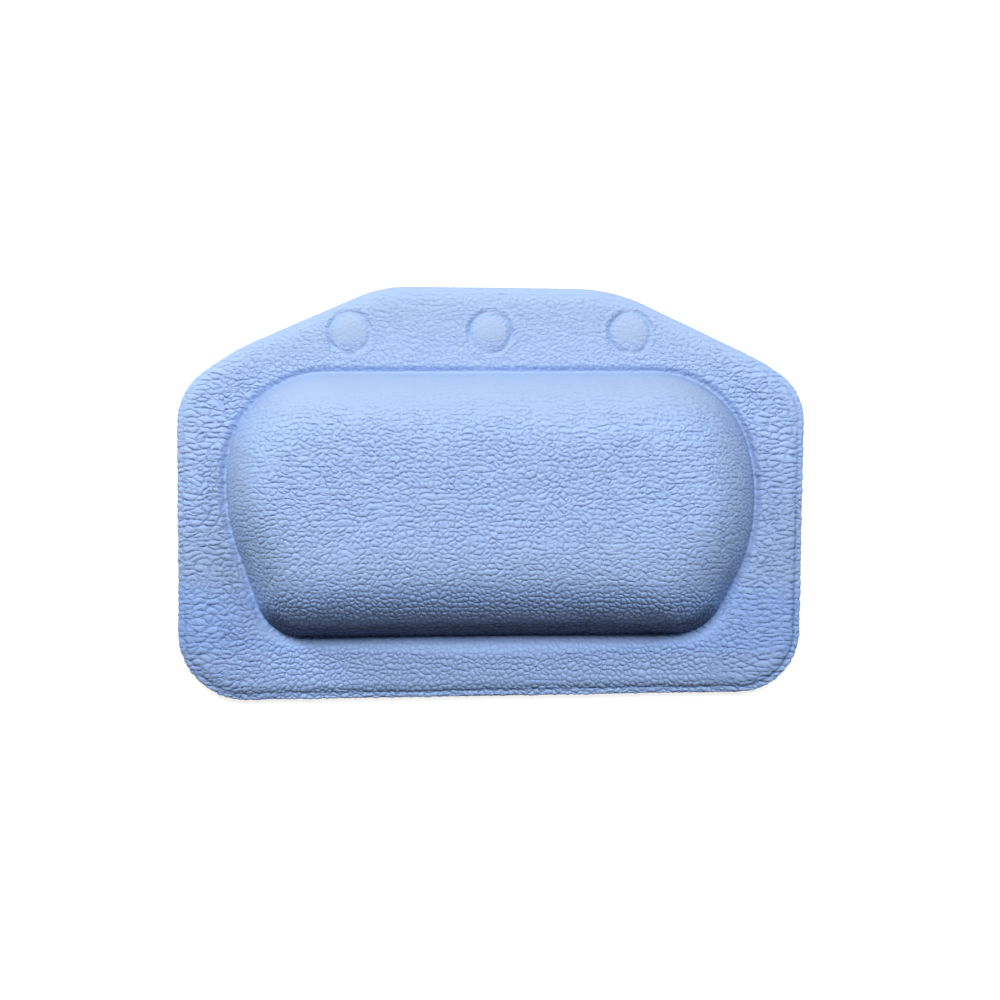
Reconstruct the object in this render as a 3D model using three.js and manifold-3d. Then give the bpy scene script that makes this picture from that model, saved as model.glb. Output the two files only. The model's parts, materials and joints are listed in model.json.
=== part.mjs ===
// Bath pillow: a formed foam-PVC cushion on a flat flange, held to the bath by three suction cups.
//
// The pillow is built in its own plane: X runs across it, Y up towards the cups and Z out of its front,
// with z = 0 on the back of the back sheet. It is then laid down on its cups and its lower edge.
// All lengths are in millimetres.

import * as THREE from 'three';
import { mergeGeometries, mergeVertices } from 'three/addons/utils/BufferGeometryUtils.js';
import Module from 'manifold-3d';

const wasm = await Module();
wasm.setup();

// Overall size of the pillow, across and up
const PILLOW_WIDTH = 330;
const PILLOW_HEIGHT = 218;
// Running and seating clearance between separate pieces
const CLEARANCE = 0.3;
// How far a cutter runs past the surface that it cuts
const CUT_OVERRUN = 1;

// Outline of the flange: the rounding of its corners
const TOP_LEFT_RADIUS = 81;
const TOP_RIGHT_RADIUS = 95;
const LEFT_SHOULDER_RADIUS = 44;
const RIGHT_SHOULDER_RADIUS = 34;
const BOTTOM_LEFT_RADIUS = 38;
const BOTTOM_RIGHT_RADIUS = 36;
// Its corners, as shares of half the width and half the height
const OUTLINE_SHARES = [
  { x: 1.004, y: 0.539, radius: RIGHT_SHOULDER_RADIUS },
  { x: 0.391, y: 0.991, radius: TOP_RIGHT_RADIUS },
  { x: -0.356, y: 1.006, radius: TOP_LEFT_RADIUS },
  { x: -0.999, y: 0.566, radius: LEFT_SHOULDER_RADIUS },
  { x: -0.992, y: -1.0, radius: BOTTOM_LEFT_RADIUS },
  { x: 0.981, y: -0.952, radius: BOTTOM_RIGHT_RADIUS },
];

// Flange: its width beside, above and below the cushion
const FLANGE_SIDE = 24;
const FLANGE_TOP = 43;
const FLANGE_BOTTOM = 33;

// Cushion: the size of the crease round it, where its ridge lies and how far it stands out
const CUSHION_WIDTH = PILLOW_WIDTH - 2 * FLANGE_SIDE;
const CUSHION_HEIGHT = PILLOW_HEIGHT - FLANGE_TOP - FLANGE_BOTTOM;
const CUSHION_CENTRE_Y = (FLANGE_BOTTOM - FLANGE_TOP) / 2;
const CUSHION_RISE = 39;
// A higher power gives steeper sides and a flatter top
const CUSHION_FULLNESS_POWER = 4;
const CUSHION_TOP_RADIUS = 52;
const CUSHION_SIDE_RADIUS = 96;
const CUSHION_BOTTOM_RADIUS = 33;
const CREASE_SHARES = [
  { x: 1.041, y: -0.044, radius: CUSHION_SIDE_RADIUS },
  { x: 0.872, y: 1.0, radius: CUSHION_TOP_RADIUS },
  { x: -0.899, y: 0.994, radius: CUSHION_TOP_RADIUS },
  { x: -1.023, y: 0.131, radius: CUSHION_SIDE_RADIUS },
  { x: -0.819, y: -1.014, radius: CUSHION_BOTTOM_RADIUS },
  { x: 0.794, y: -0.975, radius: CUSHION_BOTTOM_RADIUS },
];
// The cushion narrows to a ridge this share of its own width
const RIDGE_WIDTH_SHARE = 0.5;
// Where the rings of the cushion's front and of its hollow lie, from the ridge out to the crease
const FRONT_RING_SHARES = [0.8, 0.58, 0.42, 0.3, 0.2, 0.12, 0.055];
const HOLLOW_RING_SHARES = [0.8, 0.6, 0.42, 0.26, 0.14, 0.06];

// Front skin: foam sheet, its welded lip, the weld groove and the roll up to the flange
const SKIN_THICKNESS = 4;
const SKIN_WALL = 3.2;
const LIP_THICKNESS = 1.9;
const LIP_WIDTH = 4.2;
const LIP_ROUNDING = 0.8;
const GROOVE_DEPTH = 0.5;
const ROLL_WIDTH = 6.5;
const FLANGE_CROWN = 0.5;
const CREASE_DEPTH = 1.4;
const CREASE_WIDTH = 5;

// Back sheet
const BACK_THICKNESS = 2.5;
const BACK_EDGE_ROUNDING = 0.5;

// Suction cups and the discs that hold them
const CUP_SPACING = 73.8;
const CUP_LINE_INSET = 24;
const CUP_LINE_Y = PILLOW_HEIGHT / 2 - CUP_LINE_INSET;
const CUP_RADIUS = 15;
const CUP_DROP = 11;
const CUP_RIM_WIDTH = 1.7;
const CUP_BOSS_RADIUS = 6.5;
const CUP_BOSS_HEIGHT = 2;
const CUP_CROWN_THICKNESS = 4.6;
const NECK_RADIUS = 4;
const HEAD_RADIUS = 6.4;
const HEAD_THICKNESS = 1.5;
const DISC_RADIUS = 10.4;
const DISC_THICKNESS = 1.2;
const DISC_ROUNDING = 0.25;
const TAB_WIDTH = 8;
const TAB_LENGTH = 6;
const TAB_THICKNESS = 1.4;
const TAB_LIFT = 0.4;

// Weld rings in the upper flange, one round each disc
const RING_RADIUS = 10.9;
const RING_GROOVE_RADIUS = 1.3;
const RING_PAD_RADIUS = 9.7;
const RING_PAD_RISE = 0.9;

// How finely the round shapes are faceted
const LOOP_POINTS = 72;
const ARC_DIVISIONS = 24;
const CUP_SEGMENTS = 28;
const CUP_CURVE_DIVISIONS = 6;
const DISC_SEGMENTS = 24;
const GROOVE_DIVISIONS = 6;

// Levels above the back face that the pieces share
const SEAM_Z = BACK_THICKNESS + CLEARANCE;
const FLANGE_Z = SEAM_Z + SKIN_THICKNESS;
const CREASE_Z = FLANGE_Z - CREASE_DEPTH;
const DISC_TOP_Z = SEAM_Z + DISC_THICKNESS;
const HEAD_BASE_Z = DISC_TOP_Z + CLEARANCE;
const HEAD_TOP_Z = HEAD_BASE_Z + HEAD_THICKNESS;

const CUP_PLACES = [
  { side: 'left', x: -CUP_SPACING },
  { side: 'centre', x: 0 },
  { side: 'right', x: CUP_SPACING },
];

const MATERIALS = {
  skin: new THREE.MeshStandardMaterial({ color: 0xa3bfee, roughness: 0.72, metalness: 0 }),
  back: new THREE.MeshStandardMaterial({ color: 0x9bb8ea, roughness: 0.78, metalness: 0 }),
  foam: new THREE.MeshStandardMaterial({ color: 0xf2efe2, roughness: 0.95, metalness: 0 }),
  disc: new THREE.MeshStandardMaterial({ color: 0xf4f6f8, roughness: 0.45, metalness: 0 }),
  cup: new THREE.MeshStandardMaterial({ color: 0xdfeaf2, roughness: 0.22, metalness: 0 }),
};

// Loops: closed outlines in the pillow's plane

/** Corners in millimetres from a table of shares of a width and a height. */
function cornersOf(shares, width, height, centreY) {
  return shares.map(({ x, y, radius }) => ({
    point: new THREE.Vector2((x * width) / 2, centreY + (y * height) / 2),
    radius,
  }));
}

/** Unit vectors from a corner to its neighbours, and half the angle between them. */
function cornerDirections(corners, index) {
  const { point } = corners[index];
  const before = corners.at(index - 1).point;
  const after = corners[(index + 1) % corners.length].point;
  const toBefore = before.clone().sub(point).normalize();
  const toAfter = after.clone().sub(point).normalize();
  const halfAngle = Math.acos(toBefore.dot(toAfter)) / 2;
  return { toBefore, toAfter, halfAngle };
}

/** The corners of the parallel outline that lies a distance inside, or outside if it is negative. */
function insetCorners(corners, distance) {
  return corners.map(({ point, radius }, index) => {
    const { toBefore, toAfter, halfAngle } = cornerDirections(corners, index);
    const inwards = toBefore.add(toAfter).normalize();
    return {
      point: point.clone().addScaledVector(inwards, distance / Math.sin(halfAngle)),
      radius: radius - distance,
    };
  });
}

/** The points of a polygon whose corners are rounded by arcs. */
function roundedLoop(corners) {
  const path = new THREE.Path();
  corners.forEach(({ point, radius }, index) => {
    const { toBefore, toAfter, halfAngle } = cornerDirections(corners, index);
    const start = point.clone().addScaledVector(toBefore, radius / Math.tan(halfAngle));
    const end = point.clone().addScaledVector(toAfter, radius / Math.tan(halfAngle));
    const inwards = toBefore.add(toAfter).normalize();
    const centre = point.clone().addScaledVector(inwards, radius / Math.sin(halfAngle));
    const from = Math.atan2(start.y - centre.y, start.x - centre.x);
    const to = Math.atan2(end.y - centre.y, end.x - centre.x);
    path.absarc(centre.x, centre.y, radius, from, to, false);
  });
  path.closePath();
  return path;
}

/** Where a ray from the cushion's centre meets a loop's line. */
function rayHit(line, direction) {
  for (let i = 0; i < line.length - 1; i += 1) {
    const start = line[i];
    const span = line[i + 1].clone().sub(start);
    const fromCentre = new THREE.Vector2(start.x, start.y - CUSHION_CENTRE_Y);
    const across = direction.cross(span);
    const along = across === 0 ? -1 : -direction.cross(fromCentre) / across;
    const reach = fromCentre.clone().addScaledVector(span, along);
    if (along >= 0 && along <= 1 && reach.dot(direction) > 0) {
      return new THREE.Vector2(reach.x, reach.y + CUSHION_CENTRE_Y);
    }
  }
  throw new Error('a ray misses a loop that is open or lies off centre');
}

/** Rays that meet the outline at evenly spaced points, so that every loop has matching points. */
function evenRays(corners) {
  const points = roundedLoop(corners).getSpacedPoints(LOOP_POINTS).slice(0, LOOP_POINTS);
  return points.map(({ x, y }) => new THREE.Vector2(x, y - CUSHION_CENTRE_Y).normalize());
}

const OUTLINE = cornersOf(OUTLINE_SHARES, PILLOW_WIDTH, PILLOW_HEIGHT, 0);
const CREASE = cornersOf(CREASE_SHARES, CUSHION_WIDTH, CUSHION_HEIGHT, CUSHION_CENTRE_Y);
const RAYS = evenRays(OUTLINE);

/** The points of a parallel outline on the shared rays. */
function loopOf(corners, inset = 0) {
  const line = roundedLoop(insetCorners(corners, inset)).getPoints(ARC_DIVISIONS);
  line.push(line[0].clone());
  return RAYS.map((ray) => rayHit(line, ray));
}

// Rings: loops at a height, which the skins of the soft pieces run through

/** A flat ring: a loop's points at one height. */
function flatRing(loop, z) {
  return loop.map(({ x, y }) => new THREE.Vector3(x, y, z));
}

/** The ring halfway between two loops. */
function middleRing(loopA, loopB, z) {
  return loopA.map((point, i) => {
    const middle = point.clone().lerp(loopB[i], 1 / 2);
    return new THREE.Vector3(middle.x, middle.y, z);
  });
}

/** Height of the cushion over its crease, where share is 0 at the crease and 1 on the ridge. */
function cushionRise(share) {
  return CUSHION_RISE * (1 - (1 - share) ** CUSHION_FULLNESS_POWER);
}

/**
 * A ring of the cushion's surface, or of the surface that lies a depth under it.
 * Each point runs from the crease to the ridge and then sinks along the surface's own normal.
 */
function cushionRing(creaseLoop, share, depth) {
  const slopePerShare = CUSHION_RISE * CUSHION_FULLNESS_POWER * (1 - share) ** (CUSHION_FULLNESS_POWER - 1);
  return creaseLoop.map(({ x, y }) => {
    const toRidge = new THREE.Vector2(x * RIDGE_WIDTH_SHARE - x, CUSHION_CENTRE_Y - y);
    const slope = slopePerShare / toRidge.length();
    const inwards = toRidge.clone().normalize();
    const normal = new THREE.Vector3(-slope * inwards.x, -slope * inwards.y, 1).normalize();
    const surface = new THREE.Vector3(
      x + toRidge.x * share,
      y + toRidge.y * share,
      CREASE_Z + cushionRise(share),
    );
    return surface.addScaledVector(normal, -depth);
  });
}

/** A closed solid whose skin runs from one end point through rings of equal count to the other end. */
function solidFromRings(firstEnd, rings, lastEnd) {
  const points = [firstEnd, ...rings.flat(), lastEnd];
  const count = rings[0].length;
  const last = points.length - 1;
  const index = (ring, i) => 1 + ring * count + (i % count);
  const faces = [];
  for (let i = 0; i < count; i += 1) {
    faces.push(0, index(0, i), index(0, i + 1));
    for (let ring = 0; ring < rings.length - 1; ring += 1) {
      const [a, b] = [index(ring, i), index(ring, i + 1)];
      const [c, d] = [index(ring + 1, i), index(ring + 1, i + 1)];
      faces.push(a, c, b, b, c, d);
    }
    faces.push(last, index(rings.length - 1, i + 1), index(rings.length - 1, i));
  }
  const geometry = new THREE.BufferGeometry().setFromPoints(points);
  geometry.setIndex(faces);
  geometry.computeVertexNormals();
  return geometry;
}

// Solids that are cut and joined

/** A geometry with only positions and shared vertices, as the cutting library needs it. */
function toManifold(geometry) {
  const bare = geometry.clone();
  bare.deleteAttribute('normal');
  bare.deleteAttribute('uv');
  const merged = mergeVertices(bare);
  const mesh = new wasm.Mesh({
    numProp: 3,
    vertProperties: new Float32Array(merged.attributes.position.array),
    triVerts: new Uint32Array(merged.index.array),
  });
  return new wasm.Manifold(mesh);
}

/** A cut or joined solid as a geometry again. */
function fromManifold(solid) {
  const mesh = solid.getMesh();
  const geometry = new THREE.BufferGeometry();
  geometry.setAttribute('position', new THREE.BufferAttribute(mesh.vertProperties, mesh.numProp));
  geometry.setIndex(new THREE.BufferAttribute(mesh.triVerts, 1));
  geometry.computeVertexNormals();
  return geometry;
}

/** A turned solid about the Z axis, from [radius, z] pairs that run up its outside. */
function turned(profile, segments) {
  const points = profile.map(([radius, z]) => new THREE.Vector2(radius, z));
  return new THREE.LatheGeometry(points, segments).rotateX(Math.PI / 2);
}

/** A copy of a geometry on each cup's axis. */
function onEachCup(geometry) {
  return CUP_PLACES.map(({ x }) => geometry.clone().translate(x, CUP_LINE_Y, 0));
}

// Front skin

/** Rings of the skin's front, from the ridge out to the edge of the lip. */
function skinFrontRings(creaseLoop) {
  const bank = CREASE_WIDTH / 2;
  const grooveZ = SEAM_Z + LIP_THICKNESS - GROOVE_DEPTH;
  const rollTop = LIP_WIDTH + ROLL_WIDTH;
  const rollMiddle = LIP_WIDTH + ROLL_WIDTH / 4;
  const rollMiddleZ = grooveZ + ((FLANGE_Z - grooveZ) * 2) / 3;
  return [
    ...FRONT_RING_SHARES.map((share) => cushionRing(creaseLoop, share, 0)),
    flatRing(creaseLoop, CREASE_Z),
    flatRing(loopOf(CREASE, -bank), FLANGE_Z - CREASE_DEPTH / 4),
    flatRing(loopOf(CREASE, -CREASE_WIDTH), FLANGE_Z),
    middleRing(loopOf(CREASE, -CREASE_WIDTH), loopOf(OUTLINE, rollTop), FLANGE_Z + FLANGE_CROWN),
    flatRing(loopOf(OUTLINE, rollTop), FLANGE_Z),
    flatRing(loopOf(OUTLINE, rollMiddle), rollMiddleZ),
    flatRing(loopOf(OUTLINE, LIP_WIDTH), grooveZ),
    flatRing(loopOf(OUTLINE, LIP_ROUNDING), SEAM_Z + LIP_THICKNESS),
    flatRing(loopOf(OUTLINE), SEAM_Z + LIP_THICKNESS - LIP_ROUNDING),
  ];
}

/** Rings of the skin's underside, from the edge of the lip in to the top of the hollow. */
function skinBackRings(creaseLoop) {
  return [
    flatRing(loopOf(OUTLINE), SEAM_Z),
    flatRing(loopOf(CREASE, SKIN_WALL), SEAM_Z),
    ...HOLLOW_RING_SHARES.toReversed().map((share) => cushionRing(creaseLoop, share, SKIN_WALL)),
  ];
}

/** The formed sheet before the weld rings are pressed into it. */
function formedSheet() {
  const creaseLoop = loopOf(CREASE);
  const topZ = CREASE_Z + CUSHION_RISE;
  return solidFromRings(
    new THREE.Vector3(0, CUSHION_CENTRE_Y, topZ),
    [...skinFrontRings(creaseLoop), ...skinBackRings(creaseLoop)],
    new THREE.Vector3(0, CUSHION_CENTRE_Y, topZ - SKIN_WALL),
  );
}

/** The low round pad that the disc and the cup's head push up inside a weld ring. */
function ringPad() {
  const padTop = FLANGE_Z + RING_PAD_RISE;
  return turned([
    [0, FLANGE_Z - CUT_OVERRUN],
    [RING_PAD_RADIUS, FLANGE_Z - CUT_OVERRUN],
    [RING_PAD_RADIUS, FLANGE_Z],
    [(RING_PAD_RADIUS * 3) / 4, FLANGE_Z + (RING_PAD_RISE * 3) / 4],
    [0, padTop],
  ], DISC_SEGMENTS);
}

/** The half-round groove that the welding ring presses into the skin. */
function ringGroove() {
  const section = new THREE.EllipseCurve(RING_RADIUS, FLANGE_Z, RING_GROOVE_RADIUS, RING_GROOVE_RADIUS);
  const profile = section.getPoints(GROOVE_DIVISIONS).map(({ x, y }) => [x, y]);
  return turned(profile, DISC_SEGMENTS);
}

/** The stepped pocket under a weld ring: wide for the disc, narrow for the cup's head. */
function ringPocket() {
  const discPocket = DISC_RADIUS + CLEARANCE;
  const headPocket = HEAD_RADIUS + CLEARANCE;
  return turned([
    [0, SEAM_Z - CUT_OVERRUN],
    [discPocket, SEAM_Z - CUT_OVERRUN],
    [discPocket, HEAD_BASE_Z],
    [headPocket, HEAD_BASE_Z],
    [headPocket, HEAD_TOP_Z + CLEARANCE],
    [0, HEAD_TOP_Z + CLEARANCE],
  ], DISC_SEGMENTS);
}

function frontSkin() {
  const join = (geometries) => toManifold(mergeGeometries(geometries.map((g) => g.toNonIndexed())));
  const padded = toManifold(formedSheet()).add(join(onEachCup(ringPad())));
  const grooved = padded.subtract(join(onEachCup(ringGroove())));
  const pocketed = grooved.subtract(join(onEachCup(ringPocket())));
  return new THREE.Mesh(fromManifold(pocketed), MATERIALS.skin);
}

// Back sheet

/** The flat back sheet with a hole for each cup's neck. */
function backSheet() {
  const edge = BACK_EDGE_ROUNDING;
  const shape = new THREE.Shape(loopOf(OUTLINE, edge));
  for (const { x } of CUP_PLACES) {
    const hole = new THREE.Path();
    hole.absarc(x, CUP_LINE_Y, NECK_RADIUS + CLEARANCE + edge, 0, 2 * Math.PI, true);
    shape.holes.push(hole);
  }
  const geometry = new THREE.ExtrudeGeometry(shape, {
    depth: BACK_THICKNESS - 2 * edge,
    bevelThickness: edge,
    bevelSize: edge,
    bevelSegments: 1,
    curveSegments: DISC_SEGMENTS / 4,
  });
  geometry.translate(0, 0, edge);
  return new THREE.Mesh(fromManifold(toManifold(geometry)), MATERIALS.back);
}

// Foam core

/** The sponge block, which fills the hollow of the skin and lies on the back sheet. */
function foamCore() {
  const depth = SKIN_WALL + CLEARANCE;
  const creaseLoop = loopOf(CREASE);
  const footLoop = loopOf(CREASE, SKIN_WALL + 2 * CLEARANCE);
  const rings = [
    ...HOLLOW_RING_SHARES.map((share) => cushionRing(creaseLoop, share, depth)),
    flatRing(footLoop, SEAM_Z),
  ];
  const top = new THREE.Vector3(0, CUSHION_CENTRE_Y, CREASE_Z + CUSHION_RISE - depth);
  const bottom = new THREE.Vector3(0, CUSHION_CENTRE_Y, SEAM_Z);
  return new THREE.Mesh(solidFromRings(top, rings, bottom), MATERIALS.foam);
}

// Discs and suction cups

/** The washer that lies in a weld ring and holds a cup's head. */
function retainingDisc() {
  const bore = NECK_RADIUS + CLEARANCE;
  const round = DISC_ROUNDING;
  const profile = [
    [bore, SEAM_Z],
    [DISC_RADIUS - round, SEAM_Z],
    [DISC_RADIUS, SEAM_Z + round],
    [DISC_RADIUS, DISC_TOP_Z - round],
    [DISC_RADIUS - round, DISC_TOP_Z],
    [bore, DISC_TOP_Z],
    [bore, SEAM_Z],
  ];
  return new THREE.Mesh(turned(profile, DISC_SEGMENTS), MATERIALS.disc);
}

/** Points of a smooth curve through [radius, z] pairs, without its last point. */
function smooth(pairs) {
  const curve = new THREE.SplineCurve(pairs.map(([radius, z]) => new THREE.Vector2(radius, z)));
  return curve.getPoints(CUP_CURVE_DIVISIONS).slice(0, -1).map(({ x, y }) => [x, y]);
}

/** Half the cup's section: up the inside of the bowl's wall, over the rim and up the outside to the head. */
function cupProfile() {
  const bossTopZ = -CLEARANCE;
  const bossBaseZ = bossTopZ - CUP_BOSS_HEIGHT;
  const bowlDepth = CUP_DROP - CUP_CROWN_THICKNESS;
  const rimInner = CUP_RADIUS - CUP_RIM_WIDTH;
  const flare = CUP_RADIUS - CUP_BOSS_RADIUS;
  const fall = CUP_DROP + bossBaseZ;
  const inside = smooth([
    [0, -CUP_CROWN_THICKNESS],
    [rimInner / 3, -CUP_CROWN_THICKNESS - bowlDepth / 12],
    [(rimInner * 3) / 4, -CUP_DROP + bowlDepth / 2],
    [rimInner, -CUP_DROP],
  ]);
  const outside = smooth([
    [CUP_RADIUS, -CUP_DROP],
    [CUP_BOSS_RADIUS + (flare * 3) / 4, bossBaseZ - (fall * 11) / 20],
    [CUP_BOSS_RADIUS + flare / 3, bossBaseZ - fall / 6],
    [CUP_BOSS_RADIUS, bossBaseZ],
  ]);
  return [
    ...inside,
    [rimInner, -CUP_DROP],
    ...outside,
    [CUP_BOSS_RADIUS, bossBaseZ],
    [CUP_BOSS_RADIUS, bossTopZ],
    [NECK_RADIUS, bossTopZ],
    [NECK_RADIUS, HEAD_BASE_Z],
    [HEAD_RADIUS, HEAD_BASE_Z],
    [HEAD_RADIUS - HEAD_THICKNESS / 3, HEAD_BASE_Z + HEAD_THICKNESS / 2],
    [HEAD_RADIUS / 2, HEAD_TOP_Z - HEAD_THICKNESS / 8],
    [0, HEAD_TOP_Z],
  ];
}

/** The tongue on the rim, along X, that breaks the vacuum when it is pulled. */
function peelTab() {
  const radius = TAB_WIDTH / 2;
  const start = CUP_RADIUS - CUP_RIM_WIDTH;
  const end = CUP_RADIUS + TAB_LENGTH - radius;
  const shape = new THREE.Shape();
  shape.moveTo(start, -radius);
  shape.absarc(end, 0, radius, -Math.PI / 2, Math.PI / 2, false);
  shape.lineTo(start, radius);
  shape.closePath();
  const options = { depth: TAB_THICKNESS, bevelEnabled: false, curveSegments: ARC_DIVISIONS / 3 };
  return new THREE.ExtrudeGeometry(shape, options).translate(0, 0, TAB_LIFT - CUP_DROP);
}

/** One soft cup: mushroom head, neck, boss, bowl, flat rim and peel tab in one moulding. */
function suctionCup() {
  const body = toManifold(turned(cupProfile(), CUP_SEGMENTS));
  const whole = body.add(toManifold(peelTab()));
  return new THREE.Mesh(fromManifold(whole), MATERIALS.cup);
}

// The whole pillow, laid down on the cups and on its lower edge

/** Tilt of the pillow about X when the cups' rims and the lower edge carry it. */
function restTilt() {
  const lowerEdgeY = Math.min(...loopOf(OUTLINE).map(({ y }) => y));
  const rimY = CUP_LINE_Y - CUP_RADIUS;
  return Math.atan2(CUP_DROP, rimY - lowerEdgeY);
}

function named(mesh, name) {
  mesh.name = name;
  return mesh;
}

const pillow = new THREE.Group();
pillow.add(named(frontSkin(), 'front_skin'));
pillow.add(named(backSheet(), 'back_sheet'));
pillow.add(named(foamCore(), 'foam_core'));
for (const { side, x } of CUP_PLACES) {
  const station = new THREE.Group();
  station.position.set(x, CUP_LINE_Y, 0);
  station.add(named(retainingDisc(), `retaining_disc_${side}`));
  station.add(named(suctionCup(), `suction_cup_${side}`));
  pillow.add(station);
}
pillow.rotation.x = restTilt();

const group = new THREE.Group();
group.add(pillow);
const resting = new THREE.Box3().setFromObject(group, true);
const middle = resting.getCenter(new THREE.Vector3());
pillow.position.set(-middle.x, -middle.y, -resting.min.z);

export default group;
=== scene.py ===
"""Bath pillow: its soft grained skin, back sheet, sponge and suction cups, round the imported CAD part."""

import json
import logging
import math
from dataclasses import dataclass, field
from enum import Enum
from typing import Any

import bmesh
import bpy
import numpy as np
from mathutils import Matrix, Vector


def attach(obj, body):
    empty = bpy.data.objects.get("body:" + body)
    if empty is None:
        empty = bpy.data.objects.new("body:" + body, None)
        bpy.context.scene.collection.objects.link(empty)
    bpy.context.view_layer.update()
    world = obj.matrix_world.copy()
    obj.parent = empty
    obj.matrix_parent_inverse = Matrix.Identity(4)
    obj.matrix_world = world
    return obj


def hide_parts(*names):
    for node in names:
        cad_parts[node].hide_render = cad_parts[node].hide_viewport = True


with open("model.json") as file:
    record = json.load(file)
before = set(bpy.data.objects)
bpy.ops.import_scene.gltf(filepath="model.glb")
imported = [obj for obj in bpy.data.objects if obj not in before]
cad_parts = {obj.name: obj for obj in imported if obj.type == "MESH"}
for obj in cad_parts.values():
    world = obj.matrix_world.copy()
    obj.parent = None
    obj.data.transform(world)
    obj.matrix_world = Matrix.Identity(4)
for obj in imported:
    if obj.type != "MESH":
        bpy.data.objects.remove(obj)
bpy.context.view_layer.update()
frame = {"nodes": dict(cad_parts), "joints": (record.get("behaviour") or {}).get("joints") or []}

LOG = logging.getLogger("bath_pillow")
Array = np.ndarray
Colour = tuple[float, float, float]
Pair = tuple[float, float]
MM = 0.001

# Sizes in millimetres, in the pillow's own plane: X across, Y up to the cups, Z out of the front
# and 0 on the back of the back sheet
PILLOW_WIDTH = 330.0
PILLOW_HEIGHT = 218.0
CLEARANCE = 0.3
BACK_THICKNESS = 2.5
SEAM_Z = BACK_THICKNESS + CLEARANCE
SKIN_THICKNESS = 4.0
FLANGE_Z = SEAM_Z + SKIN_THICKNESS
CREASE_DEPTH = 1.4
CREASE_Z = FLANGE_Z - CREASE_DEPTH
CUSHION_WIDTH = 282.0
CUSHION_HEIGHT = 142.0
CUSHION_CENTRE_Y = -5.0
CENTRE = np.array((0.0, CUSHION_CENTRE_Y))
CUSHION_RISE = 39.0
RIDGE_Z = CREASE_Z + CUSHION_RISE
SKIN_WALL = 3.2
CUP_LINE_Y = 85.0
CUP_SPACING = 73.8
CUP_SIDES = {"left": -CUP_SPACING, "centre": 0.0, "right": CUP_SPACING}
# Seeds of the random numbers
WELD_SEED = 17
EDGE_SEED = 19
SPONGE_SEED = 55
RING_SEED = 71
SWELL_SEEDS = (91, 92)
TICK_SEED = 93
# Shares of half the width and half the height, and the radius, of each rounded corner
OUTLINE_CORNERS = (
    (1.003, 0.494, 29.8),
    (0.884, 0.632, 90.0),
    (0.389, 0.993, 88.5),
    (-0.344, 1.007, 65.8),
    (-0.828, 0.692, 148.0),
    (-0.999, 0.498, 33.4),
    (-0.993, -0.997, 35.5),
    (0.983, -0.947, 32.5),
)
CREASE_CORNERS = (
    (1.041, -0.044, 96.0),
    (0.872, 0.976, 50.0),
    (-0.885, 0.972, 54.0),
    (-1.023, 0.131, 96.0),
    (-0.826, -0.988, 25.5),
    (0.809, -0.957, 28.0),
)


def smoothstep(low: float, high: float, value: Array) -> Array:
    """Ease from 0 at low to 1 at high: 3t^2 - 2t^3 of the share t of the way."""
    t = np.clip((value - low) / (high - low), 0.0, 1.0)
    return t * t * (3.0 - 2.0 * t)


def unit(vectors: Array) -> Array:
    """Vectors scaled to length 1."""
    return vectors / np.maximum(np.linalg.norm(vectors, axis=-1, keepdims=True), 1e-12)


@dataclass(frozen=True)
class PillowPlane:
    """Where the pillow's own plane lies in the row frame, from a cup's joint."""

    tilt: float
    offset: tuple[float, float, float]

    @staticmethod
    def from_joint(joint: dict[str, Any]) -> "PillowPlane":
        """Read the tilt from a swivel's axis and the offset from its place.

        Args:
            joint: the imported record's joint of the centre cup, at (0, CUP_LINE_Y, 0) of the plane.

        Returns:
            The plane's place.
        """
        tilt = math.atan2(-joint["axis"][1], joint["axis"][2])
        x, y, z = joint["pos_m"]
        reach = CUP_LINE_Y * MM
        return PillowPlane(tilt, (x, y - reach * math.cos(tilt), z - reach * math.sin(tilt)))

    def matrix(self) -> Matrix:
        """The plane's place as a matrix, from metres in the plane to the row frame."""
        return Matrix.Translation(self.offset) @ Matrix.Rotation(self.tilt, 4, "X")

    def to_row(self, points: Array) -> Array:
        """Points in millimetres in the plane as metres in the row frame: turned by the tilt, then moved."""
        matrix = np.array(self.matrix())
        return points * MM @ matrix[:3, :3].T + matrix[:3, 3]


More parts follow.
